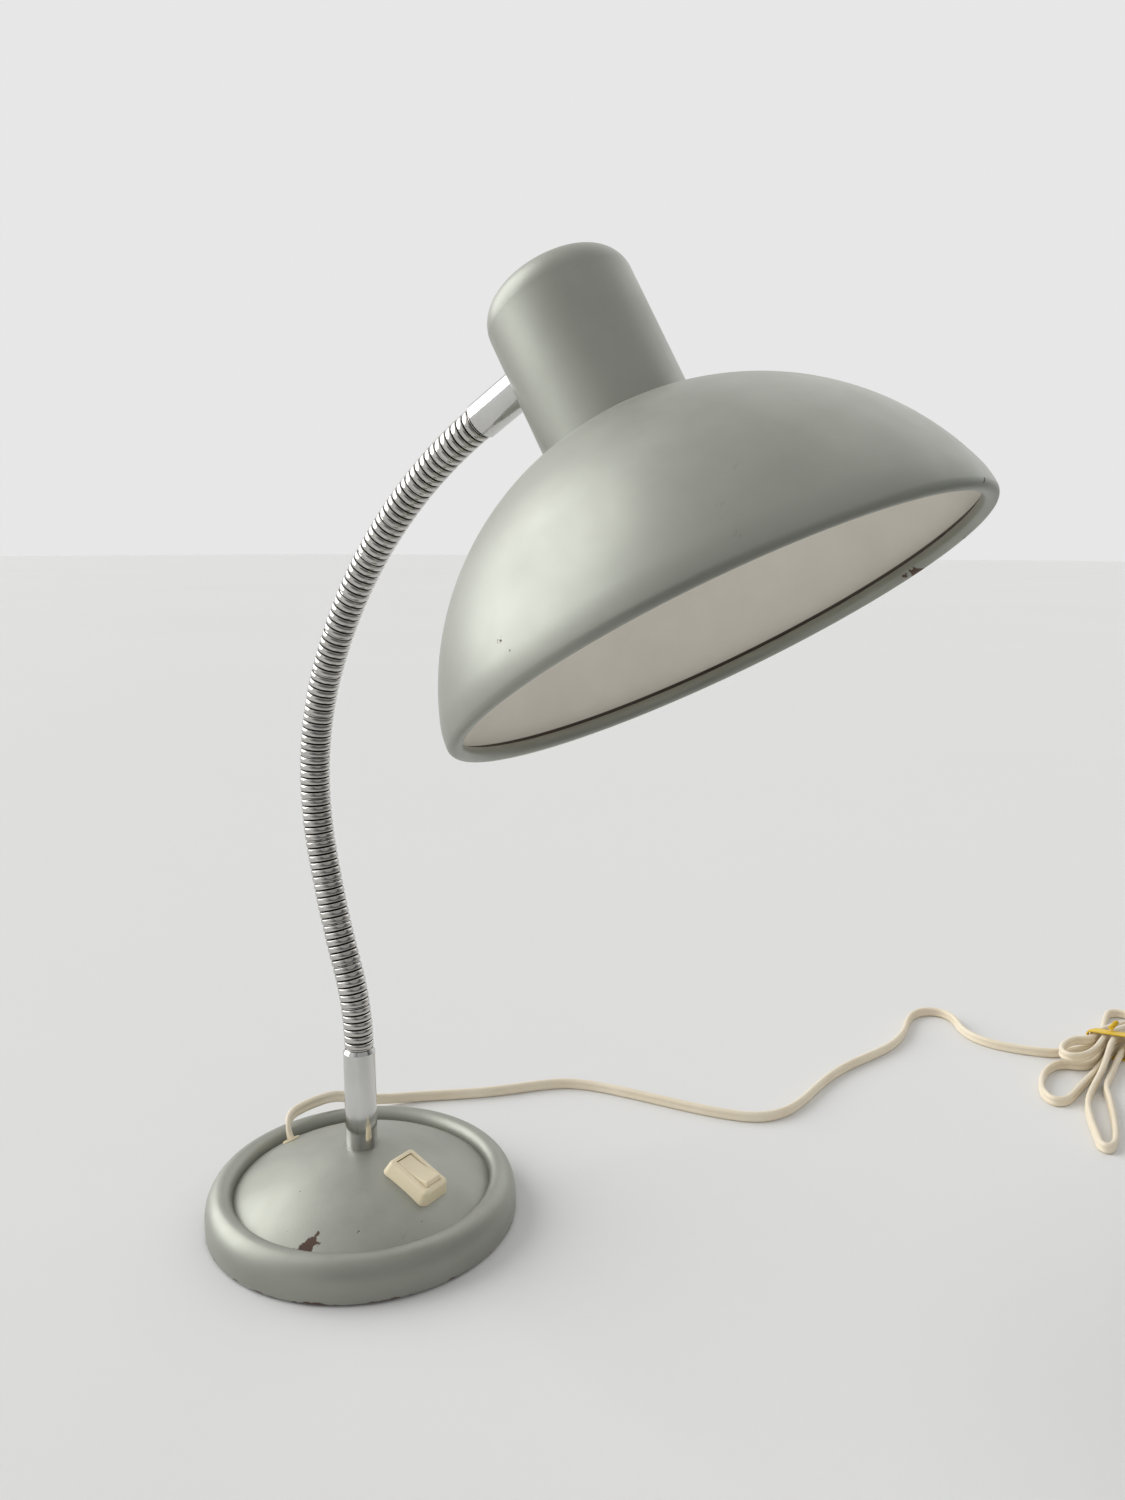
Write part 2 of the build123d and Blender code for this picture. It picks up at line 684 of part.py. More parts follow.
with BuildPart() as bulb_cap:
    with BuildSketch(head_section):
        with BuildLine():
            Polyline((bulb_cap_radius - bulb_cap_wall, bulb_cap_foot), (bulb_cap_radius, bulb_cap_foot),
                     (bulb_cap_radius, bulb_cap_top - bulb_cap_floor), (bulb_tip_radius, bulb_cap_top),
                     (bulb_tip_radius, bulb_cap_top + bulb_tip_height), (0, bulb_cap_top + bulb_tip_height),
                     (0, bulb_cap_top - bulb_cap_floor),
                     (bulb_cap_radius - bulb_cap_wall, bulb_cap_top - bulb_cap_floor), close=True)
        make_face()
    revolve(axis=head_axis)
save(bulb_cap, "bulb_cap")


def bulb_section(inset):
    """Lines of the globe from its tip to the end of its neck, moved inwards by inset."""
    globe = CenterArc((0, bulb_centre), bulb_radius - inset, -90, 90 + bulb_shoulder_angle)
    neck_foot_point = (bulb_neck_radius - inset, bulb_cap_foot)
    TangentArc(globe @ 1, neck_foot_point, tangent=globe % 1)
    neck = Line(neck_foot_point, (bulb_neck_radius - inset, bulb_cap_foot + bulb_seat))
    return globe @ 0, neck @ 1


with BuildPart() as bulb_glass:
    with BuildSketch(head_section):
        with BuildLine():
            outer_tip, outer_neck = bulb_section(0)
            inner_tip, inner_neck = bulb_section(bulb_wall)
            Line(outer_tip, inner_tip)
            Line(outer_neck, inner_neck)
        make_face()
    revolve(axis=head_axis)
save(bulb_glass, "bulb_glass")

# Rocker switch: its housing sits on the dome and hangs through it
switch_axis = Axis(switch_plane.origin, switch_plane.z_dir)
pivot = switch_plane.offset(bezel_height - pivot_drop).origin
rocker_top = pivot_drop + rocker_rise
rocker_reach = hypot(rocker_length / 2, rocker_top)
skirt_level = rocker_top - rocker_skirt
skirt_reach = sqrt(rocker_reach**2 - skirt_level**2)
cavity_radius = rocker_reach + rocker_swing_gap
cavity_width = rocker_width + 2 * loose_gap
cavity_floor = switch_floor - switch_body_depth
pin_plane = Plane(origin=pivot, x_dir=switch_plane.x_dir, z_dir=(0, 1, 0))
pin_length = cavity_width + 2 * pin_grip
bridge_foot = (rocker_depth + bridge_thickness) / cos(radians(rocker_tilt))
pivot_height = bezel_height - pivot_drop


def blade_top(place):
    """Height of a blade that stays clear of the bridge over the rocker's whole travel."""
    reach = place + blade_thickness / 2
    return pivot_height - bridge_foot - reach * tan(radians(rocker_tilt)) - loose_gap


with BuildPart() as switch_housing:
    with BuildSketch(switch_plane.offset(-bezel_sink)):
        RectangleRounded(bezel_length, bezel_width, bezel_corner_radius)
    extrude(amount=bezel_sink + bezel_height, taper=bezel_taper)
    fillet(switch_housing.faces().sort_by(switch_axis)[-1].edges(), bezel_edge_radius)
    with BuildSketch(Plane.XZ):
        with BuildLine():
            foot_point = dome_point(groove_radius, dome_bulge_radius + seat_gap)
            land_point = dome_point(dome_land_radius, dome_bulge_radius + seat_gap)
            RadiusArc(foot_point, land_point, -(dome_bulge_radius + seat_gap))
            Polyline(land_point, (0, land_point[1]), (0, 0), (foot_point[0], 0), foot_point)
        make_face()
    revolve(axis=Axis.Z, mode=Mode.SUBTRACT)
    with BuildSketch(switch_plane.offset(-switch_body_depth)):
        Rectangle(switch_body_length, switch_body_width)
    extrude(amount=switch_body_depth + pivot_height)
    with BuildSketch(switch_plane.offset(cavity_floor)):
        Rectangle(2 * cavity_radius, cavity_width)
    extrude(amount=pivot_height - rocker_depth - cavity_floor, mode=Mode.SUBTRACT)
    with BuildSketch(pin_plane):
        Circle(cavity_radius)
    extrude(amount=cavity_width / 2, both=True, mode=Mode.SUBTRACT)
    with BuildSketch(pin_plane):
        Circle(pin_radius + pin_gap)
    extrude(amount=pin_length / 2 + pin_gap, both=True, mode=Mode.SUBTRACT)
    with BuildSketch(switch_plane.offset(-switch_body_depth)):
        with Locations((0, 0), (front_blade_place, 0)):
            Rectangle(blade_thickness + 2 * seat_gap, blade_width + 2 * seat_gap)
    extrude(amount=switch_floor, mode=Mode.SUBTRACT)
save(switch_housing, "switch_housing")

with BuildPart() as switch_terminals:
    for place in (0, front_blade_place):
        with BuildSketch(switch_plane.offset(-switch_body_depth - blade_tail)):
            with Locations((place, 0)):
                Rectangle(blade_thickness, blade_width)
        extrude(amount=switch_body_depth + blade_tail + blade_top(place))
save(switch_terminals, "switch_terminals")

with BuildPart() as rocker_pin:
    with BuildSketch(pin_plane):
        Circle(pin_radius)
    extrude(amount=pin_length / 2, both=True)
save(rocker_pin, "rocker_pin")

# Rocker, drawn about its pin with ends round it, and tilted so that its front end stands up
rocker_section = section_plane(pivot, Vector(switch_plane.x_dir).rotate(Axis.Y, -rocker_tilt))
with BuildPart() as rocker:
    with BuildSketch(rocker_section):
        with BuildLine():
            ThreePointArc((-rocker_length / 2, rocker_top), (0, rocker_top - rocker_dip),
                          (rocker_length / 2, rocker_top))
            RadiusArc((rocker_length / 2, rocker_top), (skirt_reach, skirt_level), rocker_reach)
            Polyline((skirt_reach, skirt_level), (rocker_foot_length / 2, -rocker_depth),
                     (-rocker_foot_length / 2, -rocker_depth), (-skirt_reach, skirt_level))
            RadiusArc((-skirt_reach, skirt_level), (-rocker_length / 2, rocker_top), rocker_reach)
        make_face()
        Circle(pin_radius + pin_gap, mode=Mode.SUBTRACT)
    extrude(amount=rocker_width / 2, both=True)
    fillet(rocker.faces().sort_by(Axis(pivot, rocker_section.y_dir))[-1].edges(), rocker_edge_radius)
save(rocker, "rocker")

with BuildPart() as contact_bridge:
    with BuildSketch(rocker_section):
        with Locations((0, -rocker_depth - bridge_thickness / 2)):
            Rectangle(bridge_length, bridge_thickness)
    extrude(amount=bridge_width / 2, both=True)
save(contact_bridge, "contact_bridge")

# Grommet in the rear of the dome, with a flange on each side of the wall
grommet_radius = grommet_hole_radius + grommet_flange
grommet_foot = base_wall + loose_gap + grommet_flange_height
with BuildPart() as cord_grommet:
    with BuildSketch(grommet_plane.offset(-grommet_foot)):
        Circle(grommet_hole_radius)
    extrude(amount=grommet_foot + grommet_flange_height)
    for height in (-grommet_foot, 0):
        with BuildSketch(grommet_plane.offset(height)):
            Circle(grommet_radius)
        extrude(amount=grommet_flange_height)
    with BuildSketch(grommet_plane.offset(-grommet_foot)):
        Circle(cord_radius + seat_gap)
    extrude(amount=grommet_foot + grommet_flange_height, mode=Mode.SUBTRACT)
save(cord_grommet, "cord_grommet")

# Strain relief: a bar across the slot in the weight
with BuildPart() as cord_clamp:
    with BuildSketch(Plane.XY.offset(weight_top_height)):
        with Locations((-clamp_place, 0)):
            Rectangle(clamp_width, clamp_length)
            with GridLocations(0, clamp_screw_spacing, 1, 2):
                Circle(clamp_screw_radius + seat_gap, mode=Mode.SUBTRACT)
    extrude(amount=clamp_thickness)
save(cord_clamp, "cord_clamp")

with BuildPart() as clamp_screws:
    with BuildSketch(Plane.XY.offset(weight_top_height + clamp_thickness)):
        with Locations((-clamp_place, 0)):
            with GridLocations(0, clamp_screw_spacing, 1, 2):
                Circle(clamp_head_radius)
    extrude(amount=clamp_head_height)
    with BuildSketch(Plane.XY.offset(weight_top_height + clamp_thickness)):
        with Locations((-clamp_place, 0)):
            with GridLocations(0, clamp_screw_spacing, 1, 2):
                Circle(clamp_screw_radius)
    extrude(amount=loose_gap - clamp_thickness - clamp_screw_length)
save(clamp_screws, "clamp_screws")


# Cord in straight runs, with each corner as round as its two runs allow
def corner_radii(points):
    """Radius of the arc at every inner point of a route."""
    radii = []
    for before, corner, after in zip(points, points[1:], points[2:]):
        turn = radians((corner - before).get_angle(after - corner))
        shorter_run = min((corner - before).length, (after - corner).length)
        radii.append(run_share * shorter_run / tan(turn / 2))
    return radii


def report_tube(label, piece, length):
    """Print how far a tube's volume is from its section times its length."""
    section = pi * cord_radius**2
    print(label, "length", round(length), "volume ratio", round(piece.part.volume / section / length, 4))


cord_exit = grommet_plane.offset(grommet_flange_height).origin
entry_plane = switch_plane.offset(-entry_depth)
entry_end = entry_plane.from_local_coords((-switch_body_length / 2, entry_side, 0))
entry_bend = entry_plane.from_local_coords((-switch_body_length / 2 - entry_run, entry_side, 0))
inner_points = [cord_exit, grommet_plane.offset(-inner_drop).origin]
inner_points += [Vector(place) for place in inner_route]
inner_points += [entry_bend, entry_end]
with BuildPart() as inner_cord:
    with BuildLine() as inner_path:
        FilletPolyline(*inner_points, radius=corner_radii(inner_points))
    with BuildSketch(Plane(origin=cord_exit, z_dir=-grommet_plane.z_dir)):
        Circle(cord_radius)
    sweep()
save(inner_cord, "inner_cord")
report_tube("inner_cord", inner_cord, inner_path.wire().length)

outer_points = [cord_exit, grommet_plane.offset(grommet_flange_height + cord_rise).origin]
outer_points += [Vector(place) for place in cord_route]
outer_points.append(Vector(hank_start))
with BuildPart() as power_cord:
    with BuildLine() as outer_path:
        FilletPolyline(*outer_points, radius=corner_radii(outer_points))
    with BuildSketch(Plane(origin=cord_exit, z_dir=grommet_plane.z_dir)):
        Circle(cord_radius)
    sweep()
save(power_cord, "power_cord")
print("power_cord radii", [round(radius) for radius in corner_radii(outer_points)])
report_tube("power_cord", power_cord, outer_path.wire().length)


# Hank: one tube that passes to and fro through the tie
def bearing_vector(bearing):
    """Level unit vector at an angle from +X."""
    return Vector(cos(radians(bearing)), sin(radians(bearing)), 0)


tie_forward = bearing_vector(tie_bearing)
tie_right = tie_forward.cross(Vector(0, 0, 1))


def strand_slot(column, row):
    """Place of a strand in the tie."""
    level = Vector(0, 0, bundle_height + row * strand_step)
    return Vector(*tie_place, 0) + tie_right * (column * strand_step) + level


def straight(middle, way, length):
    """Ends of a straight stretch about its middle, each with its direction."""
    return [(middle - way * (length / 2), way), (middle + way * (length / 2), way)]


def hank_nodes():
    """Places of the hank's path and its direction at each."""
    first_way = (outer_points[-1] - outer_points[-2]).normalized()
    last_way = bearing_vector(plug_bearing)
    nodes = straight(Vector(hank_start) + first_way * cord_radius, first_way, 2 * cord_radius)
    nodes += straight(strand_slot(*hank_loops[0][0]), tie_forward, tie_width)
    for leaving, returning, reach, bearing, half_width, side, height in hank_loops:
        outward = bearing_vector(bearing)
        across = Vector(0, 0, side).cross(outward)
        root = (strand_slot(*leaving) + strand_slot(*returning)) / 2
        centre = Vector(root.X, root.Y, height) + outward * (reach - half_width)
        homeward = -tie_forward if outward.dot(tie_forward) > 0 else tie_forward
        nodes += [(centre + across * half_width, outward), (centre + outward * half_width, -across),
                  (centre - across * half_width, -outward)]
        nodes += straight(strand_slot(*returning), homeward, tie_width)
    plug_point = Vector(*plug_place, plug_height)
    return nodes + straight(plug_point - last_way * cord_radius, last_way, 2 * cord_radius)


def biarc_joint(start, start_way, end, end_way):
    """Point where two tangent arcs between two places meet, and the direction there."""
    span = end - start
    both_ways = start_way + end_way
    spread = 2 * (1 - start_way.dot(end_way))
    pull = span.dot(both_ways)
    handle = (sqrt(pull**2 + spread * span.dot(span)) - pull) / spread
    joint = (start + end + (start_way - end_way) * handle) / 2
    return joint, (end - end_way * handle - start - start_way * handle).normalized()


with BuildPart() as cord_hank:
    with BuildLine() as hank_path:
        nodes = hank_nodes()
        for (start, start_way), (end, end_way) in zip(nodes, nodes[1:]):
            if start_way == end_way:
                Line(start, end)
            else:
                joint, joint_way = biarc_joint(start, start_way, end, end_way)
                TangentArc(start, joint, tangent=start_way)
                TangentArc(joint, end, tangent=joint_way)
    with BuildSketch(Plane(origin=nodes[0][0], z_dir=nodes[0][1])):
        Circle(cord_radius)
    sweep()
save(cord_hank, "cord_hank")

# Least gap of the hank to itself, on points along its path
hank_wire = hank_path.wire()
report_tube("cord_hank", cord_hank, hank_wire.length)
sample_count = round(hank_wire.length / gap_sample_step)
samples = [hank_wire.position_at(share / sample_count) for share in range(sample_count + 1)]
skip_count = round(gap_skip_length / gap_sample_step)
least_gap = min((samples[first] - samples[second]).length
                for first in range(len(samples)) for second in range(first + skip_count, len(samples)))
print("cord_hank least gap to itself", round(least_gap - 2 * cord_radius, 2))

# Tie round the bundle
columns = [column for loop in hank_loops for column in (loop[0][0], loop[1][0])]
rows = [row for loop in hank_loops for row in (loop[0][1], loop[1][1])]
bundle_width = (max(columns) - min(columns)) * strand_step + 2 * cord_radius
bundle_depth = max(rows) * strand_step + 2 * cord_radius
bundle_centre = (strand_slot(min(columns), 0) + strand_slot(max(columns), max(rows))) / 2
tie_plane = Plane(origin=bundle_centre, x_dir=tie_right, z_dir=tie_forward)
with BuildPart() as cord_tie:
    with BuildSketch(tie_plane):
        RectangleRounded(bundle_width + 2 * (loose_gap + tie_thickness),
                         bundle_depth + 2 * (loose_gap + tie_thickness), tie_corner_radius)
        RectangleRounded(bundle_width + 2 * loose_gap, bundle_depth + 2 * loose_gap,
                         tie_corner_radius - tie_thickness, mode=Mode.SUBTRACT)
    extrude(amount=tie_width / 2, both=True)
save(cord_tie, "cord_tie")

# Plug with a tapered relief and two pins
plug_plane = Plane(origin=(*plug_place, plug_height), x_dir=(0, 0, 1), z_dir=bearing_vector(plug_bearing))
plug_end = plug_relief_length + plug_body_length
plug_top_plane = Plane(origin=(*plug_place, plug_height), x_dir=bearing_vector(plug_bearing), z_dir=(0, 0, 1))
with BuildPart() as plug_body:
    with BuildSketch(plug_top_plane):
        with BuildLine():
            Polyline((plug_relief_length, plug_nose_width / 2),
                     (plug_relief_length + plug_shoulder_length, plug_body_width / 2),
                     (plug_end, plug_body_width / 2), (plug_end, -plug_body_width / 2),
                     (plug_relief_length + plug_shoulder_length, -plug_body_width / 2),
                     (plug_relief_length, -plug_nose_width / 2), close=True)
        make_face()
    extrude(amount=plug_body_thickness / 2, both=True)
    fillet(plug_body.edges(), plug_corner_radius)
    with BuildSketch(plug_plane):
        Circle(plug_relief_tip_radius)
    with BuildSketch(plug_plane.offset(plug_relief_length + plug_corner_radius)):
        Circle(plug_relief_radius)
    loft()
    with BuildSketch(plug_plane.offset(plug_end)):
        with GridLocations(0, plug_pin_spacing, 1, 2):
            Circle(plug_pin_radius + seat_gap)
    extrude(amount=-plug_pin_seat, mode=Mode.SUBTRACT)
save(plug_body, "plug_body")

with BuildPart() as plug_pins:
    with BuildSketch(plug_plane.offset(plug_end - plug_pin_seat)):
        with GridLocations(0, plug_pin_spacing, 1, 2):
            Circle(plug_pin_radius)
    extrude(amount=plug_pin_seat + plug_pin_length)
    fillet(plug_pins.edges().group_by(Axis(plug_plane.origin, plug_plane.z_dir))[-1], plug_pin_radius / 2)
save(plug_pins, "plug_pins")
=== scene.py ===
"""Finishes, finer pieces, studio and camera for the gooseneck desk lamp.

Lengths are in metres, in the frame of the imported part: the lamp stands at the origin with +Z up,
its neck bends in the XZ plane and its head looks towards +X.
"""

import json
from math import acos, cos, degrees, radians, sin, sqrt

import bmesh
import bpy
from mathutils import Matrix, Vector

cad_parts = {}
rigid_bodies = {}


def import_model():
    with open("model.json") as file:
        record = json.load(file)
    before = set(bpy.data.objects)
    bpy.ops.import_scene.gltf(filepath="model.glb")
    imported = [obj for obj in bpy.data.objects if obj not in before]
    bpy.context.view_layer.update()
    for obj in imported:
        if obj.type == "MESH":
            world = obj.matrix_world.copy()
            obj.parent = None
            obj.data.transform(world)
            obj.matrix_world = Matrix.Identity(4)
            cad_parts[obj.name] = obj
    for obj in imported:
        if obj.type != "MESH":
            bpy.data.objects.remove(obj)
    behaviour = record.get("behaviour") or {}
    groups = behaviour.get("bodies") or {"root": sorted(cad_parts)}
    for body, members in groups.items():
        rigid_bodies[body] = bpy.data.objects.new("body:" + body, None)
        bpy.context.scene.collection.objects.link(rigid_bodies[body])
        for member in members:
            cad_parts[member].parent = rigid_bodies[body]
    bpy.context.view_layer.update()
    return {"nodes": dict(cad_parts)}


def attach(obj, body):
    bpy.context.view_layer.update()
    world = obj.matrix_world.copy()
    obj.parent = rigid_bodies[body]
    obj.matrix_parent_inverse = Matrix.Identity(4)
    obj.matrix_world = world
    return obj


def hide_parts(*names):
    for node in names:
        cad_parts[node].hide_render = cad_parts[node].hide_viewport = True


for spare in list(bpy.data.objects):
    bpy.data.objects.remove(spare)
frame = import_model()
nodes = frame["nodes"]
MM = 0.001

# Doubles closer than this are welded
weld_distance = 0.01 * MM
spin_weld = 0.001 * MM

# Neck
link_count = 16
ribs_per_link = 6
link_pitch = 21.77 * MM
rib_pitch = link_pitch / ribs_per_link
neck_foot = 91.475 * MM
neck_stretches = ((2, -18.8), (3, 8.8), (4, 31.6), (4, 21.9), (3, 16.5))
neck_facets = 48
rib_crest = 7.44 * MM
rib_foot = 7.0 * MM
rib_corner = ((0.1 * MM, 7.25 * MM), (0.3 * MM, 7.39 * MM))
groove_half = 0.38 * MM
groove_root = 6.7 * MM
joint_half = 0.53 * MM
neck_bore = 5.0 * MM
ball_radius = 6.7 * MM
ball_band = 0.28 * MM
ball_rings = (1.0 * MM, 2.0 * MM, 3.0 * MM)
socket_radius = 6.8 * MM
socket_rings = (1.2 * MM, 2.2 * MM, 3.2 * MM, 4.2 * MM)
sleeve_gap = 0.475 * MM

# Head
head_tilt = radians(30)
head_up = Vector((-sin(head_tilt), 0, cos(head_tilt)))
head_origin = Vector((200.01, 0, 309.01)) * MM
head_place = Matrix.Translation(head_origin) @ Matrix.Rotation(-head_tilt, 4, "Y")

# Shade, as a section in its own plane: rolled bead, lip arc, dome arc and land
shade_radius = 111.6 * MM
shade_wall = 0.8 * MM
bead_radius = 3.1 * MM
lip_radius = 32.7 * MM
lip_turn = 16.3
dome_radius = 113.0 * MM
land_radius = 26.0 * MM
hole_radius = 19.9 * MM
shade_steps = 160

# Flat twin cord
cord_width = 6.6 * MM
cord_exit = Vector((-54.88, 0, 22.6)) * MM
cord_lie = 3.3
tie_place = Vector((283.0, 430.0, 0.0))
tie_bearing = 84.0
strand_step = 5.7
strand_rows = (5.8, 13.2)
strand_grip = 9.0
plug_place = Vector((331.0, 424.0, 7.2))
plug_bearing = -86.0
plug_lead = 12.0
turn_angles = [radians(angle) for angle in (0.0, 45.0, 90.0, 135.0, 180.0)]
turn_swell = 1.08
exit_shares = (0.72, 0.72, 0.85)
plug_shares = (0.9, 0.72)
inner_share = 0.72

# Tie round the hank: two turns of a flat strip that cross, with their ends twisted together
tie_centre = (2.5, 9.5)
tie_turns = ((11.0, 7.2, 0.3, 1.0), (12.0, 8.2, 0.32, -4.0))
tie_strip_width = 4.6
tie_strip_thickness = 0.8
tie_corner = 1.9
twist_radius = 0.85
twist_turns = 3
twist_steps = 14
twist_length = 13.0

# Studio: levels, where mirrors see it dimmer, and lights by name, direction, width in degrees and strength
sky_light = 0.42
sky_seen = 0.8
sky_dim = 0.08
sky_fade = (0.1, 0.8)
floor_size = 30.0
floor_tone = (0.78, 0.78, 0.77, 1)
floor_other = (0.75, 0.75, 0.74, 1)
floor_dim = (0.12, 0.12, 0.12, 1)
floor_fade = (0.1, 0.5)
dim_way = (0.97, -0.2, 0.1)
suns = (
    ("key", (-0.88, -0.36, 0.48), 62.0, 2.5),
    ("fill", (1.0, -0.3, 0.7), 70.0, 0.35),
    ("rim", (0.1, 1.0, 0.8), 60.0, 0.4),
)

# Camera, fitted to the photograph
camera_lens = 27.6
camera_place = (0.403, -0.3946, 0.345)
camera_forward = Vector((-0.5645, 0.8065, -0.1755))
camera_upward = Vector((-0.1034, 0.1419, 0.9845))


# Mesh helpers
def finish_piece(bm, name, *finishes, sharp=40.0):
    """Turn a bmesh into a smooth-shaded object of this name."""
    bmesh.ops.recalc_face_normals(bm, faces=bm.faces)
    mesh = bpy.data.meshes.new(name)
    bm.to_mesh(mesh)
    bm.free()
    mesh.shade_smooth()
    mesh.set_sharp_from_angle(angle=radians(sharp))
    for finish in finishes:
        mesh.materials.append(finish)
    piece = bpy.data.objects.new(name, mesh)
    bpy.context.scene.collection.objects.link(piece)
    return piece


def ring(bm, place, radius, facets):
    """Edges of a new circle."""
    made = bmesh.ops.create_circle(bm, segments=facets, radius=radius, matrix=place)
    return list({edge for vert in made["verts"] for edge in vert.link_edges})


def turn_arc(bm, vert, centre, turn, steps):
    """Draw an arc in the XZ plane from a vertex, turning from X towards Z; gives its last vertex."""
    made = bmesh.ops.spin(bm, geom=[vert], cent=(centre[0], 0, centre[1]), axis=(0, -1, 0),
                          angle=radians(turn), steps=steps)
    return next(element for element in made["geom_last"] if isinstance(element, bmesh.types.BMVert))


def run_line(bm, vert, x, z):
    """Draw a straight line in the XZ plane from a vertex; gives its last vertex."""
    following = bmesh.ops.extrude_vert_indiv(bm, verts=[vert])["verts"][0]
    following.co = (x, 0, z)
    return following


def spin_profile(bm, steps):
    """Turn the drawn profile once round the Z axis."""
    bmesh.ops.spin(bm, geom=bm.verts[:] + bm.edges[:], cent=(0, 0, 0), axis=(0, 0, 1), angle=radians(360),
                   steps=steps, use_merge=True)
    bmesh.ops.remove_doubles(bm, verts=bm.verts, dist=spin_weld)


# Node helpers
def add_node(tree, kind, inputs=None, **settings):
    """New node with its settings and its inputs, given by name or number."""
    made = tree.nodes.new(kind)
    for name, value in settings.items():
        setattr(made, name, value)
    for name, value in (inputs or {}).items():
        if isinstance(value, bpy.types.NodeSocket):
            tree.links.new(value, made.inputs[name])
        else:
            made.inputs[name].default_value = value
    return made


def new_group(name, inputs, outputs):
    """Empty shader group with named sockets; gives the tree, its input node and its output node."""
    tree = bpy.data.node_groups.new(name, "ShaderNodeTree")
    for label, kind, value in inputs:
        socket = tree.interface.new_socket(name=label, in_out="INPUT", socket_type=kind)
        socket.default_value = value
    for label, kind in outputs:
        tree.interface.new_socket(name=label, in_out="OUTPUT", socket_type=kind)
    return tree, tree.nodes.new("NodeGroupInput"), tree.nodes.new("NodeGroupOutput")


def object_coords(tree):
    """Object coordinates socket."""
    return tree.nodes.new("ShaderNodeTexCoord").outputs["Object"]


def noise(tree, scale, detail=3.0, roughness=0.5, vector=None):
    """Noise value on object coordinates."""
    made = add_node(tree, "ShaderNodeTexNoise", {
        "Vector": vector or object_coords(tree), "Scale": scale, "Detail": detail, "Roughness": roughness})
    return made.outputs["Factor"] if "Factor" in made.outputs else made.outputs["Fac"]


def ramp(tree, value, low, high, to_low=0.0, to_high=1.0):
    """Value stretched from one range to another, clamped."""
    made = add_node(tree, "ShaderNodeMapRange", {
        "Value": value, "From Min": low, "From Max": high, "To Min": to_low, "To Max": to_high})
    return made.outputs["Result"]


def math(tree, operation, first, second=0.0):
    """Math node's value."""
    return add_node(tree, "ShaderNodeMath", {0: first, 1: second}, operation=operation).outputs[0]


def mix_colour(tree, factor, first, second):
    """Mix of two colours."""
    made = add_node(tree, "ShaderNodeMix", data_type="RGBA")
    for socket, value in ((made.inputs[0], factor), (made.inputs[6], first), (made.inputs[7], second)):
        if isinstance(value, bpy.types.NodeSocket):
            tree.links.new(value, socket)
        else:
            socket.default_value = value
    return made.outputs[2]


# Effects that several finishes share
def make_mottle():
    """Slow and fine change of a colour over a surface."""
    tree, given, out = new_group("mottle", (
        ("Colour", "NodeSocketColor", (0.5, 0.5, 0.5, 1)), ("Other", "NodeSocketColor", (0.4, 0.4, 0.4, 1)),
        ("Scale", "NodeSocketFloat", 20.0), ("Amount", "NodeSocketFloat", 0.5)),
        (("Colour", "NodeSocketColor"),))
    slow = ramp(tree, noise(tree, given.outputs["Scale"], 4.0, 0.55), 0.3, 0.7)
    factor = math(tree, "MULTIPLY", slow, given.outputs["Amount"])
    mixed = mix_colour(tree, factor, given.outputs["Colour"], given.outputs["Other"])
    tree.links.new(mixed, out.inputs["Colour"])
    return tree


def make_grain():
    """Fine relief of paint, plastic or castings."""
    tree, given, out = new_group("surface_grain", (
        ("Scale", "NodeSocketFloat", 900.0), ("Depth", "NodeSocketFloat", 1.0)),
        (("Height", "NodeSocketFloat"),))
    height = math(tree, "MULTIPLY", noise(tree, given.outputs["Scale"], 2.0, 0.6), given.outputs["Depth"])
    tree.links.new(height, out.inputs["Height"])
    return tree


def make_chip():
    """Ragged spot of lost paint about one place."""
    tree, given, out = new_group("placed_chip", (
        ("Place", "NodeSocketVector", (0, 0, 0)), ("Size", "NodeSocketFloat", 0.003)),
        (("Mask", "NodeSocketFloat"),))
    ragged = add_node(tree, "ShaderNodeTexNoise", {
        "Vector": object_coords(tree), "Scale": 420.0, "Detail": 3.0})
    shift = add_node(tree, "ShaderNodeVectorMath", {0: ragged.outputs["Color"], 1: (0.5, 0.5, 0.5)},
                     operation="SUBTRACT").outputs["Vector"]
    shift = add_node(tree, "ShaderNodeVectorMath", {0: shift, "Scale": 0.006},
                     operation="SCALE").outputs["Vector"]
    moved = add_node(tree, "ShaderNodeVectorMath", {0: object_coords(tree), 1: shift},
                     operation="ADD").outputs["Vector"]
    away = add_node(tree, "ShaderNodeVectorMath", {0: moved, 1: given.outputs["Place"]},
                    operation="DISTANCE").outputs["Value"]
    share = math(tree, "DIVIDE", away, given.outputs["Size"])
    tree.links.new(ramp(tree, share, 1.05, 0.95), out.inputs["Mask"])
    return tree


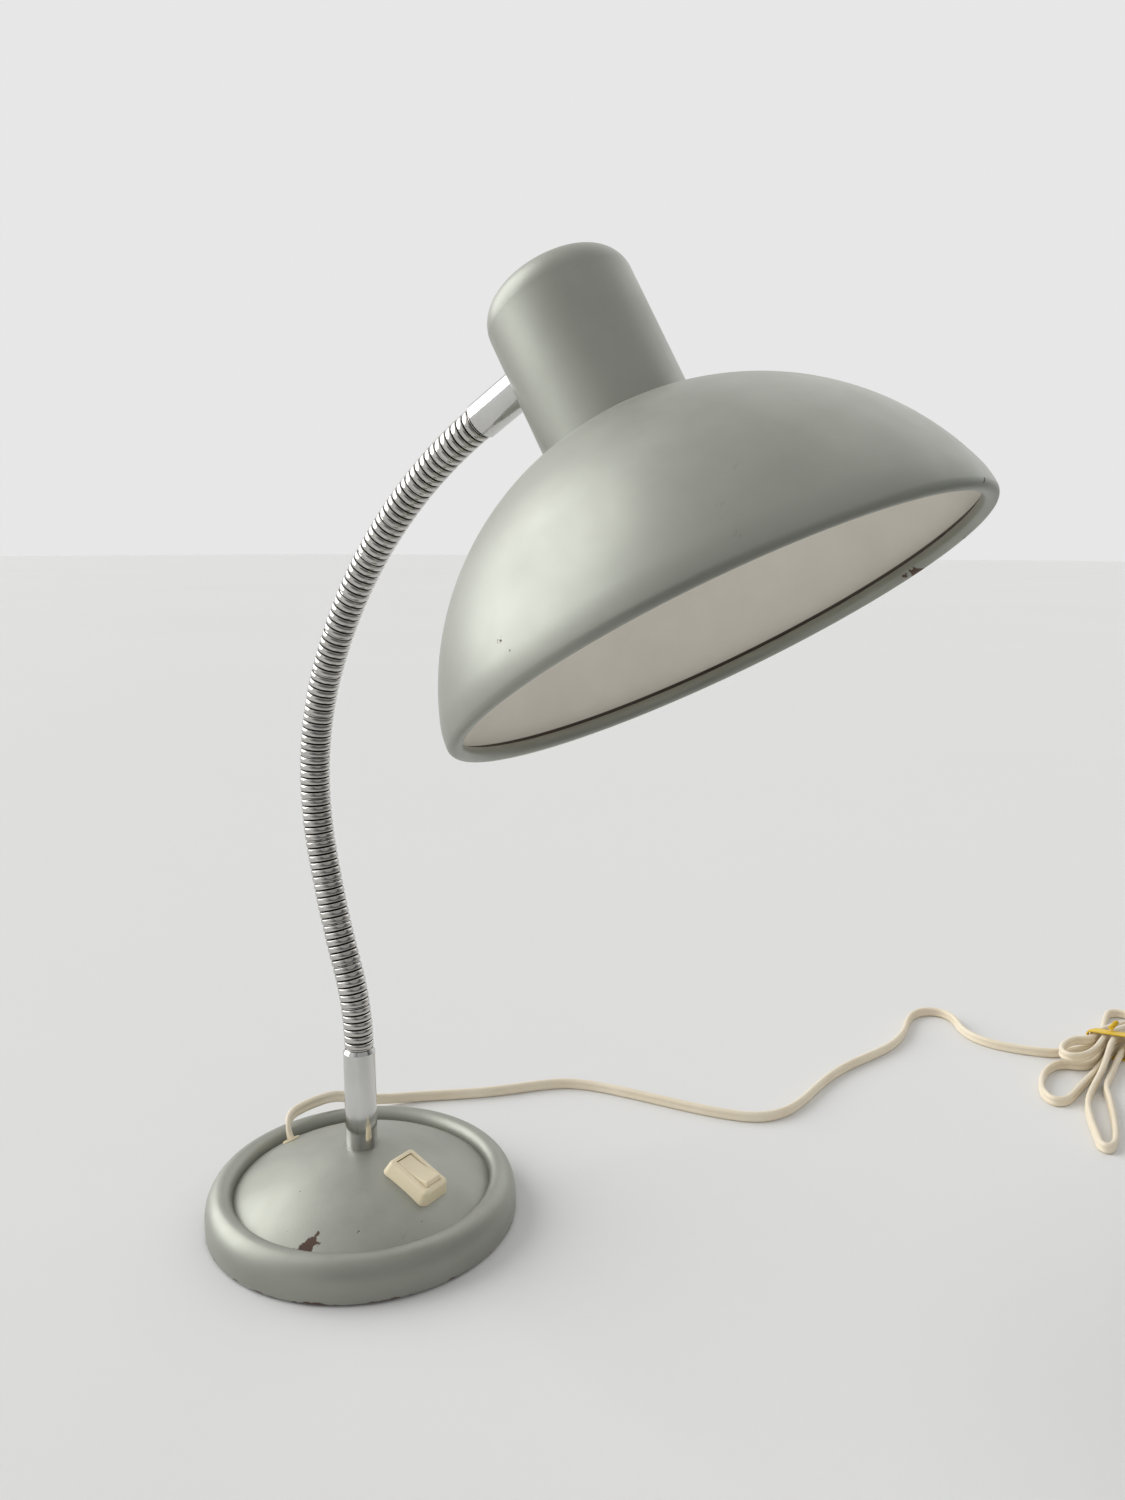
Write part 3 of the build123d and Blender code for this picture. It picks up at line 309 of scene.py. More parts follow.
def make_edge_wear_and_shade_line():
    """Broken line along an edge, at a level along an axis: lost paint on the painted parts, and a painted shade
    line on the enamel inside the shade.
    """
    tree, given, out = new_group("edge_wear_and_shade_line", (
        ("Axis", "NodeSocketVector", (0, 0, 1)), ("Level", "NodeSocketFloat", 0.0),
        ("Width", "NodeSocketFloat", 0.001), ("Scale", "NodeSocketFloat", 90.0),
        ("Cover", "NodeSocketFloat", 0.3)), (("Mask", "NodeSocketFloat"),))
    along = add_node(tree, "ShaderNodeVectorMath", {0: object_coords(tree), 1: given.outputs["Axis"]},
                     operation="DOT_PRODUCT").outputs["Value"]
    away = math(tree, "ABSOLUTE", math(tree, "SUBTRACT", along, given.outputs["Level"]))
    near = math(tree, "SUBTRACT", 1.0, math(tree, "DIVIDE", away, given.outputs["Width"]))
    broken = noise(tree, given.outputs["Scale"], 5.0, 0.65)
    limit = math(tree, "SUBTRACT", 1.0, given.outputs["Cover"])
    value = math(tree, "ADD", broken, math(tree, "MULTIPLY", near, 0.25))
    worn = ramp(tree, math(tree, "SUBTRACT", value, limit), 0.0, 0.04)
    near_mask = ramp(tree, near, 0.0, 0.15)
    tree.links.new(math(tree, "MULTIPLY", worn, near_mask), out.inputs["Mask"])
    return tree


def make_scuffs():
    """Fine specks and short scratches."""
    tree, given, out = new_group("scuffs", (
        ("Scale", "NodeSocketFloat", 120.0), ("Cover", "NodeSocketFloat", 0.25)),
        (("Mask", "NodeSocketFloat"),))
    stretched = add_node(tree, "ShaderNodeMapping", {
        "Vector": object_coords(tree), "Rotation": (0.4, 0.9, 0.3),
        "Scale": (1.0, 0.16, 0.5)}).outputs["Vector"]
    lines = noise(tree, given.outputs["Scale"], 5.0, 0.7, stretched)
    patches = noise(tree, 14.0, 2.0, 0.5)
    limit = math(tree, "SUBTRACT", 1.0, given.outputs["Cover"])
    value = math(tree, "ADD", lines, math(tree, "MULTIPLY", patches, 0.25))
    tree.links.new(ramp(tree, math(tree, "SUBTRACT", value, limit), 0.0, 0.06), out.inputs["Mask"])
    return tree


def make_dust():
    """Thin dust on faces that look up."""
    tree, given, out = new_group("settled_dust", (
        ("Amount", "NodeSocketFloat", 0.3),), (("Mask", "NodeSocketFloat"),))
    normal = tree.nodes.new("ShaderNodeNewGeometry").outputs["Normal"]
    level = add_node(tree, "ShaderNodeSeparateXYZ", {0: normal}).outputs["Z"]
    facing = ramp(tree, level, 0.35, 1.0)
    cloud = ramp(tree, noise(tree, 60.0, 6.0, 0.7), 0.35, 0.75)
    mask = math(tree, "MULTIPLY", math(tree, "MULTIPLY", facing, cloud), given.outputs["Amount"])
    tree.links.new(mask, out.inputs["Mask"])
    return tree


mottle = make_mottle()
surface_grain = make_grain()
placed_chip = make_chip()
edge_wear_and_shade_line = make_edge_wear_and_shade_line()
scuffs = make_scuffs()
settled_dust = make_dust()


def effect(tree, group, **inputs):
    """A shared effect placed in a finish; gives its one output."""
    made = add_node(tree, "ShaderNodeGroup", node_tree=group)
    for name, value in inputs.items():
        made.inputs[name.capitalize()].default_value = value
    return made.outputs[0]


def new_finish(name, metallic=0.0, roughness=0.5, **constants):
    """New material; gives it, its tree and its shader."""
    material = bpy.data.materials.new(name)
    material.use_nodes = True
    tree = material.node_tree
    shader = tree.nodes["Principled BSDF"]
    shader.inputs["Metallic"].default_value = metallic
    shader.inputs["Roughness"].default_value = roughness
    for label, value in constants.items():
        shader.inputs[label.replace("_", " ").title().replace("Ior", "IOR")].default_value = value
    return material, tree, shader


def relief(tree, shader, height, strength, depth):
    """Height turned into the shader's normal."""
    bump = add_node(tree, "ShaderNodeBump", {"Height": height, "Strength": strength, "Distance": depth})
    tree.links.new(bump.outputs["Normal"], shader.inputs["Normal"])


def colour(red, green, blue):
    """Linear colour of an 8-bit screen colour."""
    share = [value / 255 for value in (red, green, blue)]
    return (*[v / 12.92 if v <= 0.04045 else ((v + 0.055) / 1.055) ** 2.4 for v in share], 1.0)


sage = colour(154, 156, 147)
sage_dull = colour(144, 146, 137)
sage_scratched = colour(120, 122, 110)
bare_rust = colour(80, 59, 48)
dust_grey = colour(196, 190, 178)
# Painted shade: colour, height above the rim plane and width of the dark line drawn on the enamel above the rolled
# rim
painted_corner_shade = colour(74, 60, 50)
shade_line_height = 7.0 * MM
shade_line_width = 1.1 * MM


def sage_paint(name, chips, axis, level, wear_width, wear_cover):
    """Satin silver-green paint with lost spots at the places given and a worn edge."""
    material, tree, shader = new_finish(name, coat_weight=0.12, coat_roughness=0.3)
    paint = effect(tree, mottle, colour=sage, other=sage_dull, scale=24.0, amount=0.7)
    lost = effect(tree, edge_wear_and_shade_line, axis=axis, level=level, width=wear_width, cover=wear_cover)
    for place, size in chips:
        spot = effect(tree, placed_chip, place=place, size=size)
        lost = math(tree, "MAXIMUM", lost, spot)
    scratched = effect(tree, scuffs, scale=150.0, cover=0.2)
    dusty = effect(tree, settled_dust, amount=0.22)
    tone = mix_colour(tree, math(tree, "MULTIPLY", scratched, 0.35), paint, sage_scratched)
    tone = mix_colour(tree, dusty, tone, dust_grey)
    tone = mix_colour(tree, lost, tone, bare_rust)
    tree.links.new(tone, shader.inputs["Base Color"])
    tree.links.new(ramp(tree, lost, 0.0, 1.0, 0.6, 0.1), shader.inputs["Metallic"])
    uneven = ramp(tree, noise(tree, 40.0, 4.0), 0.3, 0.7, 0.4, 0.5)
    rough = math(tree, "ADD", uneven, math(tree, "MULTIPLY", dusty, 0.5))
    tree.links.new(math(tree, "ADD", rough, math(tree, "MULTIPLY", lost, 0.3)), shader.inputs["Roughness"])
    grain = effect(tree, surface_grain, scale=1600.0, depth=0.25)
    relief(tree, shader, math(tree, "SUBTRACT", grain, math(tree, "MULTIPLY", lost, 0.2)), 0.25, 0.0003)
    return material


def metal(name, tint, other, rough_low, rough_high, grain_depth=0.1, grain_scale=700.0):
    """Bare metal with smudges."""
    material, tree, shader = new_finish(name, metallic=1.0)
    body = effect(tree, mottle, colour=tint, other=other, scale=60.0, amount=0.6)
    tree.links.new(body, shader.inputs["Base Color"])
    smudge = ramp(tree, noise(tree, 45.0, 5.0, 0.6), 0.35, 0.75, rough_low, rough_high)
    tree.links.new(smudge, shader.inputs["Roughness"])
    relief(tree, shader, effect(tree, surface_grain, scale=grain_scale, depth=grain_depth), 0.15, 0.0002)
    return material


def moulded(name, tint, other, rough_low, rough_high, grain_scale=1200.0, grain_depth=0.4, dust=0.15):
    """Moulded plastic, rubber or felt."""
    material, tree, shader = new_finish(name)
    body = effect(tree, mottle, colour=tint, other=other, scale=35.0, amount=0.8)
    dusty = effect(tree, settled_dust, amount=dust)
    tree.links.new(mix_colour(tree, dusty, body, dust_grey), shader.inputs["Base Color"])
    uneven = ramp(tree, noise(tree, 80.0, 4.0), 0.3, 0.7, rough_low, rough_high)
    tree.links.new(uneven, shader.inputs["Roughness"])
    relief(tree, shader, effect(tree, surface_grain, scale=grain_scale, depth=grain_depth), 0.3, 0.0003)
    return material


def enamel(name, tint, other):
    """White stove enamel inside the shade, with a painted shade line in the corner above the rolled rim, where the
    bead shades the wall.
    """
    material, tree, shader = new_finish(name)
    body = effect(tree, mottle, colour=tint, other=other, scale=35.0, amount=0.8)
    # Painted shade: a broken dark line on the enamel just above the rolled bead, standing in for the bead's shade
    # on the wall
    corner = effect(tree, edge_wear_and_shade_line, axis=tuple(head_up), level=head_origin.dot(head_up) + shade_line_height,
                    width=shade_line_width, scale=60.0, cover=0.85)
    tree.links.new(mix_colour(tree, corner, body, painted_corner_shade), shader.inputs["Base Color"])
    tree.links.new(ramp(tree, noise(tree, 80.0, 4.0), 0.3, 0.7, 0.32, 0.42), shader.inputs["Roughness"])
    relief(tree, shader, effect(tree, surface_grain, scale=1500.0, depth=0.2), 0.3, 0.0003)
    return material


# Spots of lost paint: place and radius
base_chips = (
    ((0.0208, -0.0595, 0.0169), 0.0036), ((0.0213, -0.0551, 0.0193), 0.0026),
    ((0.0194, -0.0627, 0.0153), 0.0026), ((0.0211, -0.0521, 0.0209), 0.0011),
    ((0.0247, -0.0545, 0.0189), 0.0010), ((0.0159, -0.0630, 0.0157), 0.0011),
    ((0.0175, -0.0647, 0.0150), 0.0012), ((-0.0036, -0.0398, 0.0287), 0.0005),
    ((0.0134, -0.0358, 0.0294), 0.0005), ((0.0069, -0.0574, 0.0200), 0.0005),
    ((0.0375, -0.0404, 0.0214), 0.0006), ((0.0552, -0.0147, 0.0204), 0.0005),
)
shade_chips = (
    ((0.2432, 0.0950, 0.3342), 0.0030), ((0.2379, 0.0958, 0.3329), 0.0012),
    ((0.2693, 0.0746, 0.3490), 0.0020), ((0.2732, 0.0697, 0.3513), 0.0007),
    ((0.2955, -0.0023, 0.3662), 0.0012), ((0.1780, -0.1077, 0.3154), 0.0006),
    ((0.1835, -0.1098, 0.3126), 0.0007), ((0.1878, -0.1103, 0.3036), 0.0006),
)
shade_paint = sage_paint("shade_paint", shade_chips, axis=tuple(head_up), level=head_origin.dot(head_up),
                         wear_width=0.002, wear_cover=0.0)
base_paint = sage_paint("base_paint", base_chips, axis=(0, 0, 1), level=0.0015,
                        wear_width=0.0016, wear_cover=0.26)
cap_paint = sage_paint("cap_paint", (), axis=tuple(head_up), level=0.0, wear_width=0.001, wear_cover=0.0)
chrome = metal("chrome", colour(212, 212, 210), colour(190, 189, 186), 0.05, 0.16, grain_depth=0.05)
rib_chrome = metal("rib_chrome", colour(206, 204, 200), colour(174, 170, 164), 0.08, 0.22, grain_depth=0.08)
rib_shadow = metal("rib_shadow", colour(46, 43, 40), colour(28, 26, 25), 0.45, 0.6)
zinc_steel = metal("zinc_steel", colour(170, 171, 172), colour(146, 146, 146), 0.3, 0.45)
grey_iron = metal("grey_iron", colour(88, 88, 88), colour(66, 65, 64), 0.6, 0.75,
                  grain_depth=1.0, grain_scale=320.0)
brass = metal("brass", colour(206, 174, 104), colour(176, 142, 80), 0.22, 0.38)
nickel = metal("nickel", colour(200, 196, 188), colour(176, 170, 160), 0.2, 0.35)
felt = moulded("felt", colour(58, 62, 56), colour(44, 46, 42), 0.85, 0.95,
               grain_scale=900.0, grain_depth=1.0, dust=0.1)
ivory_plastic = moulded("ivory_plastic", colour(235, 223, 192), colour(226, 211, 176), 0.34, 0.46)
ivory_cord = moulded("ivory_cord", colour(236, 225, 203), colour(224, 210, 184), 0.42, 0.55)
yellow_tie = moulded("yellow_tie", colour(232, 196, 44), colour(214, 174, 32), 0.4, 0.5)
holder_plastic = moulded("holder_plastic", colour(226, 220, 206), colour(212, 204, 188), 0.35, 0.5)
inner_enamel = enamel("inner_enamel", colour(232, 228, 219), colour(224, 218, 206))
opal_glass = moulded("opal_glass", colour(240, 237, 230), colour(232, 228, 220), 0.16, 0.24,
                     grain_scale=600.0, grain_depth=0.1)

node_finishes = {
    base_paint: ("base_shell",),
    cap_paint: ("head_cap",),
    chrome: ("lower_sleeve", "upper_sleeve"),
    zinc_steel: ("base_cover", "cover_screws", "base_washer", "base_nut", "lower_nipple", "cord_clamp",
                 "clamp_screws", "rocker_pin", "upper_nipple", "upper_nut", "holder_bracket", "holder_nipple",
                 "holder_nuts"),
    grey_iron: ("base_weight",),
    brass: ("contact_bridge", "switch_terminals", "lampholder_shell", "centre_contact", "plug_pins"),
    nickel: ("bulb_cap",),
    felt: ("foot_pad",),
    ivory_plastic: ("cord_grommet", "switch_housing", "rocker", "plug_body"),
    holder_plastic: ("lampholder_body", "shade_ring"),
    opal_glass: ("bulb_glass",),
}
for finish, names in node_finishes.items():
    for name in names:
        nodes[name].data.materials.clear()
        nodes[name].data.materials.append(finish)


# Shade: painted outside, white enamel inside
def shade_skin():
    """Outer skin of the shade with a wall grown inwards."""
    lip_angle = radians(lip_turn)
    centre_x = shade_radius - lip_radius * (1 - cos(lip_angle)) - dome_radius * cos(lip_angle)
    centre_z = bead_radius + (lip_radius - dome_radius) * sin(lip_angle)
    land_angle = acos((land_radius - centre_x) / dome_radius)
    bm = bmesh.new()
    vert = bm.verts.new((shade_radius - bead_radius, 0, 2 * bead_radius))
    vert = turn_arc(bm, vert, (shade_radius - bead_radius, bead_radius), 270.0, 20)
    vert = turn_arc(bm, vert, (shade_radius - lip_radius, bead_radius), lip_turn, 6)
    vert = turn_arc(bm, vert, (centre_x, centre_z), degrees(land_angle) - lip_turn, 36)
    run_line(bm, vert, hole_radius, vert.co.z)
    spin_profile(bm, shade_steps)
    bmesh.ops.transform(bm, matrix=head_place, verts=bm.verts)
    skin = finish_piece(bm, "shade_skin", shade_paint, inner_enamel)
    wall = skin.modifiers.new("wall", "SOLIDIFY")
    wall.thickness = shade_wall
    wall.offset = -1.0
    wall.material_offset = 1
    return skin


shade_piece = shade_skin()
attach(shade_piece, "head")
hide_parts("shade")


# Ribbed neck: each link has six ribs, and a ball that fills the start of the next link, so no gap shows light
def neck_station(distance):
    """Place and heading of the neck's line at a distance along it."""
    x, z, heading = 0.0, neck_foot, 0.0
    for links, turn in neck_stretches:
        length = links * link_pitch
        radius = length / radians(turn)
        run = min(distance, length)
        bend = run / radius
        x += radius * (cos(heading) - cos(heading + bend))
        z += radius * (sin(heading + bend) - sin(heading))
        heading += bend
        distance -= run
    return x, z, heading


def neck_frame(distance):
    """Placement square to the neck's line."""
    x, z, heading = neck_station(distance)
    return Matrix.Translation((x, 0, z)) @ Matrix.Rotation(heading, 4, "Y")


def neck_piece(name, stations):
    """Closed turned piece on the neck's line; stations give distance, radius and the finish number that follows."""
    bm = bmesh.new()
    edges = ring(bm, neck_frame(stations[0][0]), stations[0][1], neck_facets)
    for (distance, radius, finish), (onward, onward_radius, *_) in zip(stations, stations[1:] + stations[:1]):
        made = bmesh.ops.extrude_edge_only(bm, edges=edges)["geom"]
        edges = [part for part in made if isinstance(part, bmesh.types.BMEdge) and part.is_boundary]
        step = neck_frame(onward) @ Matrix.Scale(onward_radius / radius, 4) @ neck_frame(distance).inverted()
        bmesh.ops.transform(bm, matrix=step, verts=list({vert for edge in edges for vert in edge.verts}))
        for edge in edges:
            edge.link_faces[0].material_index = finish
    bmesh.ops.remove_doubles(bm, verts=bm.verts, dist=weld_distance)
    piece = finish_piece(bm, name, rib_chrome, rib_shadow)
    return piece


def rib_stations(start, before, after):
    """Outline of one rib, set in by half a groove at either end, and the root of the groove after it."""
    end = start + rib_pitch
    rise = [(start + before + inset, radius, 0) for inset, radius in ((0.0, rib_foot),) + rib_corner]
    fall = [(end - after - inset, radius, 0) for inset, radius in reversed(rib_corner)]
    crest = (start + rib_pitch / 2, rib_crest, 0)
    return [*rise, crest, *fall, (end - after, rib_foot, 1), (end, groove_root, 1)]


def ball_stations(centre, radius, offsets):
    """Outline of a ball round a joint, bright in a narrow band at the joint and dark beside it."""
    return [(centre + offset, sqrt(radius ** 2 - offset ** 2), 0 if offset == -ball_band else 1)
            for offset in offsets]


def link_stations(start, last):
    """Outline of a link: ribs, a ball at its end, or a socket on the last link, and a socket at its start."""
    end = start + link_pitch
    stations = []
    for rib in range(ribs_per_link):
        stations += rib_stations(start + rib * rib_pitch, groove_half if rib else joint_half,
                                 groove_half if rib < ribs_per_link - 1 else joint_half)
    stations.pop()
    socket = (joint_half,) + socket_rings
    if last:
        stations += ball_stations(end, socket_radius, [-offset for offset in socket])
        stations.append((end - socket[-1], neck_bore, 1))
    else:
        stations += ball_stations(end, ball_radius, (-joint_half, -ball_band, ball_band) + ball_rings)
        stations.append((end + ball_rings[-1], neck_bore, 1))
    stations.append((start + socket[-1], neck_bore, 1))
    return stations + ball_stations(start, socket_radius, socket[::-1])


def core_stations(centre, offsets):
    """Outline of the part of a ball that stands out of a sleeve's mouth."""
    return ball_stations(centre, ball_radius, offsets) + [(centre + offsets[-1], neck_bore, 1),
                                                          (centre + offsets[0], neck_bore, 1)]


neck_length = link_count * link_pitch
for link in range(1, link_count + 1):
    outline = link_stations((link - 1) * link_pitch, last=link == link_count)
    neck_link = neck_piece(f"neck_ribs_{link:02d}", outline)
    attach(neck_link, f"link_{link:02d}")
    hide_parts(f"neck_link_{link:02d}")
foot_offsets = (-sleeve_gap, -ball_band, ball_band) + ball_rings
head_offsets = tuple(-offset for offset in ball_rings[::-1]) + (-ball_band, ball_band, sleeve_gap)
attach(neck_piece("neck_core_foot", core_stations(0.0, foot_offsets)), "base")
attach(neck_piece("neck_core_head", core_stations(neck_length, head_offsets)), "head")


# Cord: one line from the base along the table, to and fro through the tie and into the plug
cord_route = (
    (-56.6, 0.0, 27.0), (-59.5, 2.3, 30.3), (-61.5, 7.0, 32.5), (-63.0, 16.8, 32.0), (-65.6, 30.0, 29.4),
    (-68.9, 44.0, 25.4), (-73.0, 58.0, 18.4), (-75.5, 72.0, 10.5), (-71.0, 88.0, 4.6),
    (-57.0, 106.0, cord_lie), (-37.0, 124.0, cord_lie), (-19.0, 142.5, cord_lie), (-4.5, 162.0, cord_lie),
    (9.5, 176.0, cord_lie), (29.0, 183.0, cord_lie), (56.0, 187.6, cord_lie), (83.0, 191.4, cord_lie),
    (109.0, 196.4, cord_lie), (129.0, 204.0, cord_lie), (140.0, 219.0, cord_lie), (143.0, 241.0, cord_lie),
    (142.6, 269.0, cord_lie), (145.5, 298.0, cord_lie), (153.5, 325.0, cord_lie), (160.5, 350.0, cord_lie),
    (160.8, 376.0, cord_lie), (155.8, 398.0, cord_lie), (154.5, 413.0, cord_lie), (160.0, 426.0, cord_lie),
    (172.0, 430.0, cord_lie), (183.0, 422.5, cord_lie), (190.0, 410.0, cord_lie), (200.0, 400.0, cord_lie),
    (214.5, 394.8, cord_lie), (232.0, 396.6, cord_lie), (248.0, 401.2, cord_lie), (257.0, 405.6, cord_lie),
)


def level_way(bearing):
    """Level direction at an angle from +X."""
    return Vector((cos(radians(bearing)), sin(radians(bearing)), 0))


tie_forward = level_way(tie_bearing)
tie_right = tie_forward.cross(Vector((0, 0, 1)))


def strand_slot(column, row):
    """Place of a strand in the tie."""
    return tie_place + tie_right * (column * strand_step) + Vector((0, 0, strand_rows[row]))


def rear_turn(leaving, returning, reach, bearing, half_width):
    """Control points of a loop behind the tie, from its reach, bearing and half width."""
    outward = level_way(bearing)
    across = Vector((0, 0, 1)).cross(outward)
    root = (strand_slot(*leaving) + strand_slot(*returning)) / 2
    centre = Vector((root.x, root.y, cord_lie)) + outward * (reach - half_width)
    swell = half_width * turn_swell
    return [centre + (across * cos(angle) + outward * sin(angle)) * swell for angle in turn_angles]


hank_loops = (
    # slot that the loop returns to, and its control points: the front loops are as the photograph shows them
    ((-1, 1), rear_turn((-1, 0), (-1, 1), 75.0, 86.0, 9.5)),
    ((0, 1), ((272.6, 417.0, 12.7), (266.8, 413.0, 12.7), (262.6, 404.0, 12.7), (261.8, 392.5, 12.7),
              (264.5, 384.0, 12.7), (271.0, 382.0, 12.7), (277.5, 389.0, 12.7), (281.4, 404.0, 12.7))),
    ((0, 0), rear_turn((0, 1), (0, 0), 82.0, 68.0, 10.0)),
    ((1, 0), ((282.0, 408.2, cord_lie), (277.0, 394.2, cord_lie), (265.3, 391.3, cord_lie),
              (258.9, 383.0, cord_lie), (257.0, 365.9, cord_lie), (259.5, 348.5, cord_lie),
              (264.6, 336.0, cord_lie), (272.0, 330.5, cord_lie), (278.2, 336.5, cord_lie),
              (279.8, 349.0, cord_lie), (281.5, 367.0, cord_lie), (285.0, 394.0, cord_lie))),
    ((1, 1), rear_turn((1, 0), (1, 1), 76.0, 44.0, 11.0)),
    ((2, 0), ((289.0, 402.0, 12.4), (289.2, 382.0, 7.0), (287.6, 361.3, cord_lie),
              (288.8, 339.0, cord_lie), (295.2, 317.3, cord_lie), (302.2, 299.0, cord_lie),
              (305.4, 289.5, cord_lie), (310.0, 287.6, cord_lie), (312.4, 293.5, cord_lie),
              (311.4, 305.0, cord_lie), (306.6, 327.0, cord_lie), (299.6, 352.6, cord_lie),
              (293.6, 370.0, cord_lie), (294.0, 396.0, 4.2))),
)


def hank_points():
    """Control points of the hank, with two in line at each pass through the tie."""
    onward = tie_forward * strand_grip
    points = [strand_slot(-1, 0) - onward, strand_slot(-1, 0) + onward]
    for returning, loop in hank_loops:
        onward = -onward
        points += [Vector(place) for place in loop]
        points += [strand_slot(*returning) - onward, strand_slot(*returning) + onward]
    return points + [plug_place - level_way(plug_bearing) * plug_lead, plug_place]


def route_curve(name, points, thickness):
    """Curve object on one smooth spline; thickness gives each control point its share of width."""
    curve = bpy.data.curves.new(name, "CURVE")
    curve.dimensions = "3D"
    curve.resolution_u = 6
    curve.twist_mode = "Z_UP"
    spline = curve.splines.new("NURBS")
    spline.points.add(len(points) - 1)
    for made, place, share in zip(spline.points, points, thickness):
        made.co = (*place, 1)
        made.radius = share
    spline.order_u = 3
    spline.use_endpoint_u = True
    route = bpy.data.objects.new(name, curve)
    bpy.context.scene.collection.objects.link(route)
    return route


def twin_section(name, width):
    """Closed curve of the flat twin cord's section: two round cores and the web between them."""
    curve = bpy.data.curves.new(name, "CURVE")
    curve.dimensions = "2D"
    core = width / 4
    angles = [radians(angle) for angle in range(-40, 221, 26)]
    upper = [(core * cos(angle), core * (1 + sin(angle))) for angle in angles]
    lower = [(-x, -y) for x, y in upper]
    spline = curve.splines.new("POLY")
    spline.points.add(len(upper) + len(lower) - 1)
    for made, (x, y) in zip(spline.points, upper + lower):
        made.co = (x, y, 0, 1)
    spline.use_cyclic_u = True
    section = bpy.data.objects.new(name, curve)
    bpy.context.scene.collection.objects.link(section)
    return section


def cord_piece(name, points, thickness, finish):
    """Mesh of the flat cord along its route, and the points of the route that it follows."""
    route = route_curve(name + "_route", points, thickness)
    depsgraph = bpy.context.evaluated_depsgraph_get()
    line = bpy.data.meshes.new_from_object(route.evaluated_get(depsgraph))
    path = [vert.co.copy() for vert in line.vertices]
    section = twin_section(name + "_section", cord_width)
    route.data.bevel_mode = "OBJECT"
    route.data.bevel_object = section
    route.data.use_fill_caps = True
    depsgraph = bpy.context.evaluated_depsgraph_get()
    mesh = bpy.data.meshes.new_from_object(route.evaluated_get(depsgraph))
    mesh.name = name
    bm = bmesh.new()
    bm.from_mesh(mesh)
    bmesh.ops.remove_doubles(bm, verts=bm.verts, dist=weld_distance)
    piece = finish_piece(bm, name, finish, sharp=60.0)
    for spare in (route, section):
        bpy.data.curves.remove(spare.data)
    for spare in (line, mesh):
        bpy.data.meshes.remove(spare)
    return piece, path


points = [cord_exit] + [Vector(place) * MM for place in cord_route] + [place * MM for place in hank_points()]
full_points = len(points) - len(exit_shares) - len(plug_shares)
thickness = [*exit_shares, *[1.0] * full_points, *plug_shares]
power_cord, cord_path = cord_piece("power_cord_flat", points, thickness, ivory_cord)
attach(power_cord, "base")
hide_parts("power_cord", "cord_hank")


def tie_strip():
    """Two crossing turns of a flat strip round the strands, with their ends twisted together on top."""
    upright = Vector((0, 0, 1))
    middle = tie_place + tie_right * tie_centre[0] + upright * tie_centre[1]
    bm = bmesh.new()
    for half_width, half_height, slant, shift in tie_turns:
        lean = tie_right + tie_forward * slant
        place = Matrix((lean * half_width, upright * half_height, tie_forward)).transposed().to_4x4()
        place.translation = middle + tie_forward * (shift - tie_strip_width / 2)
        corners = bmesh.ops.create_grid(bm, x_segments=1, y_segments=1, size=1.0, matrix=place)["verts"]
        rounded = bmesh.ops.bevel(bm, geom=corners, offset=tie_corner, segments=6, profile=0.5,
                                  affect="VERTICES", material=-1)
        cap = next(face for face in rounded["verts"][0].link_faces)
        walls = bmesh.ops.extrude_edge_only(bm, edges=cap.edges[:])["geom"]
        moved = [part for part in walls if isinstance(part, bmesh.types.BMVert)]
        bmesh.ops.translate(bm, verts=moved, vec=tie_forward * tie_strip_width)
        band = [part for part in walls if isinstance(part, bmesh.types.BMFace)]
        bmesh.ops.delete(bm, geom=[cap], context="FACES_ONLY")
        bmesh.ops.recalc_face_normals(bm, faces=band)
        bmesh.ops.solidify(bm, geom=band, thickness=-tie_strip_thickness)
    top = middle + upright * (tie_turns[-1][1] + tie_strip_thickness + 2 * twist_radius)
    steps = twist_turns * twist_steps
    for side in (-1, 1):
        place = Matrix.Translation(top + tie_right * (side * twist_radius))
        place = place @ Vector((0, 0, 1)).rotation_difference(tie_forward).to_matrix().to_4x4()
        bmesh.ops.create_circle(bm, cap_ends=True, segments=10, radius=twist_radius, matrix=place)
        bm.faces.ensure_lookup_table()
        bmesh.ops.spin(bm, geom=[bm.faces[-1]], cent=top, axis=tie_forward, steps=steps,
                       dvec=tie_forward * (twist_length / steps), angle=radians(360) * twist_turns)
    bmesh.ops.scale(bm, vec=(MM, MM, MM), verts=bm.verts)
    return finish_piece(bm, "cord_tie_strip", yellow_tie)


tie_piece = tie_strip()
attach(tie_piece, "base")
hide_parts("cord_tie")

inner_route = ((-51.0, 0.0, 13.9), (-30.0, 0.0, 13.5), (-23.0, 0.8, 19.8), (-16.5, 10.5, 23.4),
               (-3.0, 17.6, 25.4), (8.5, 12.0, 28.4), (15.5, 4.5, 28.0), (24.5, 4.5, 25.0))
points = [cord_exit] + [Vector(place) * MM for place in inner_route]
inner_cord = cord_piece("inner_cord_flat", points, [inner_share] * len(points), ivory_cord)[0]
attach(inner_cord, "base")
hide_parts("inner_cord")


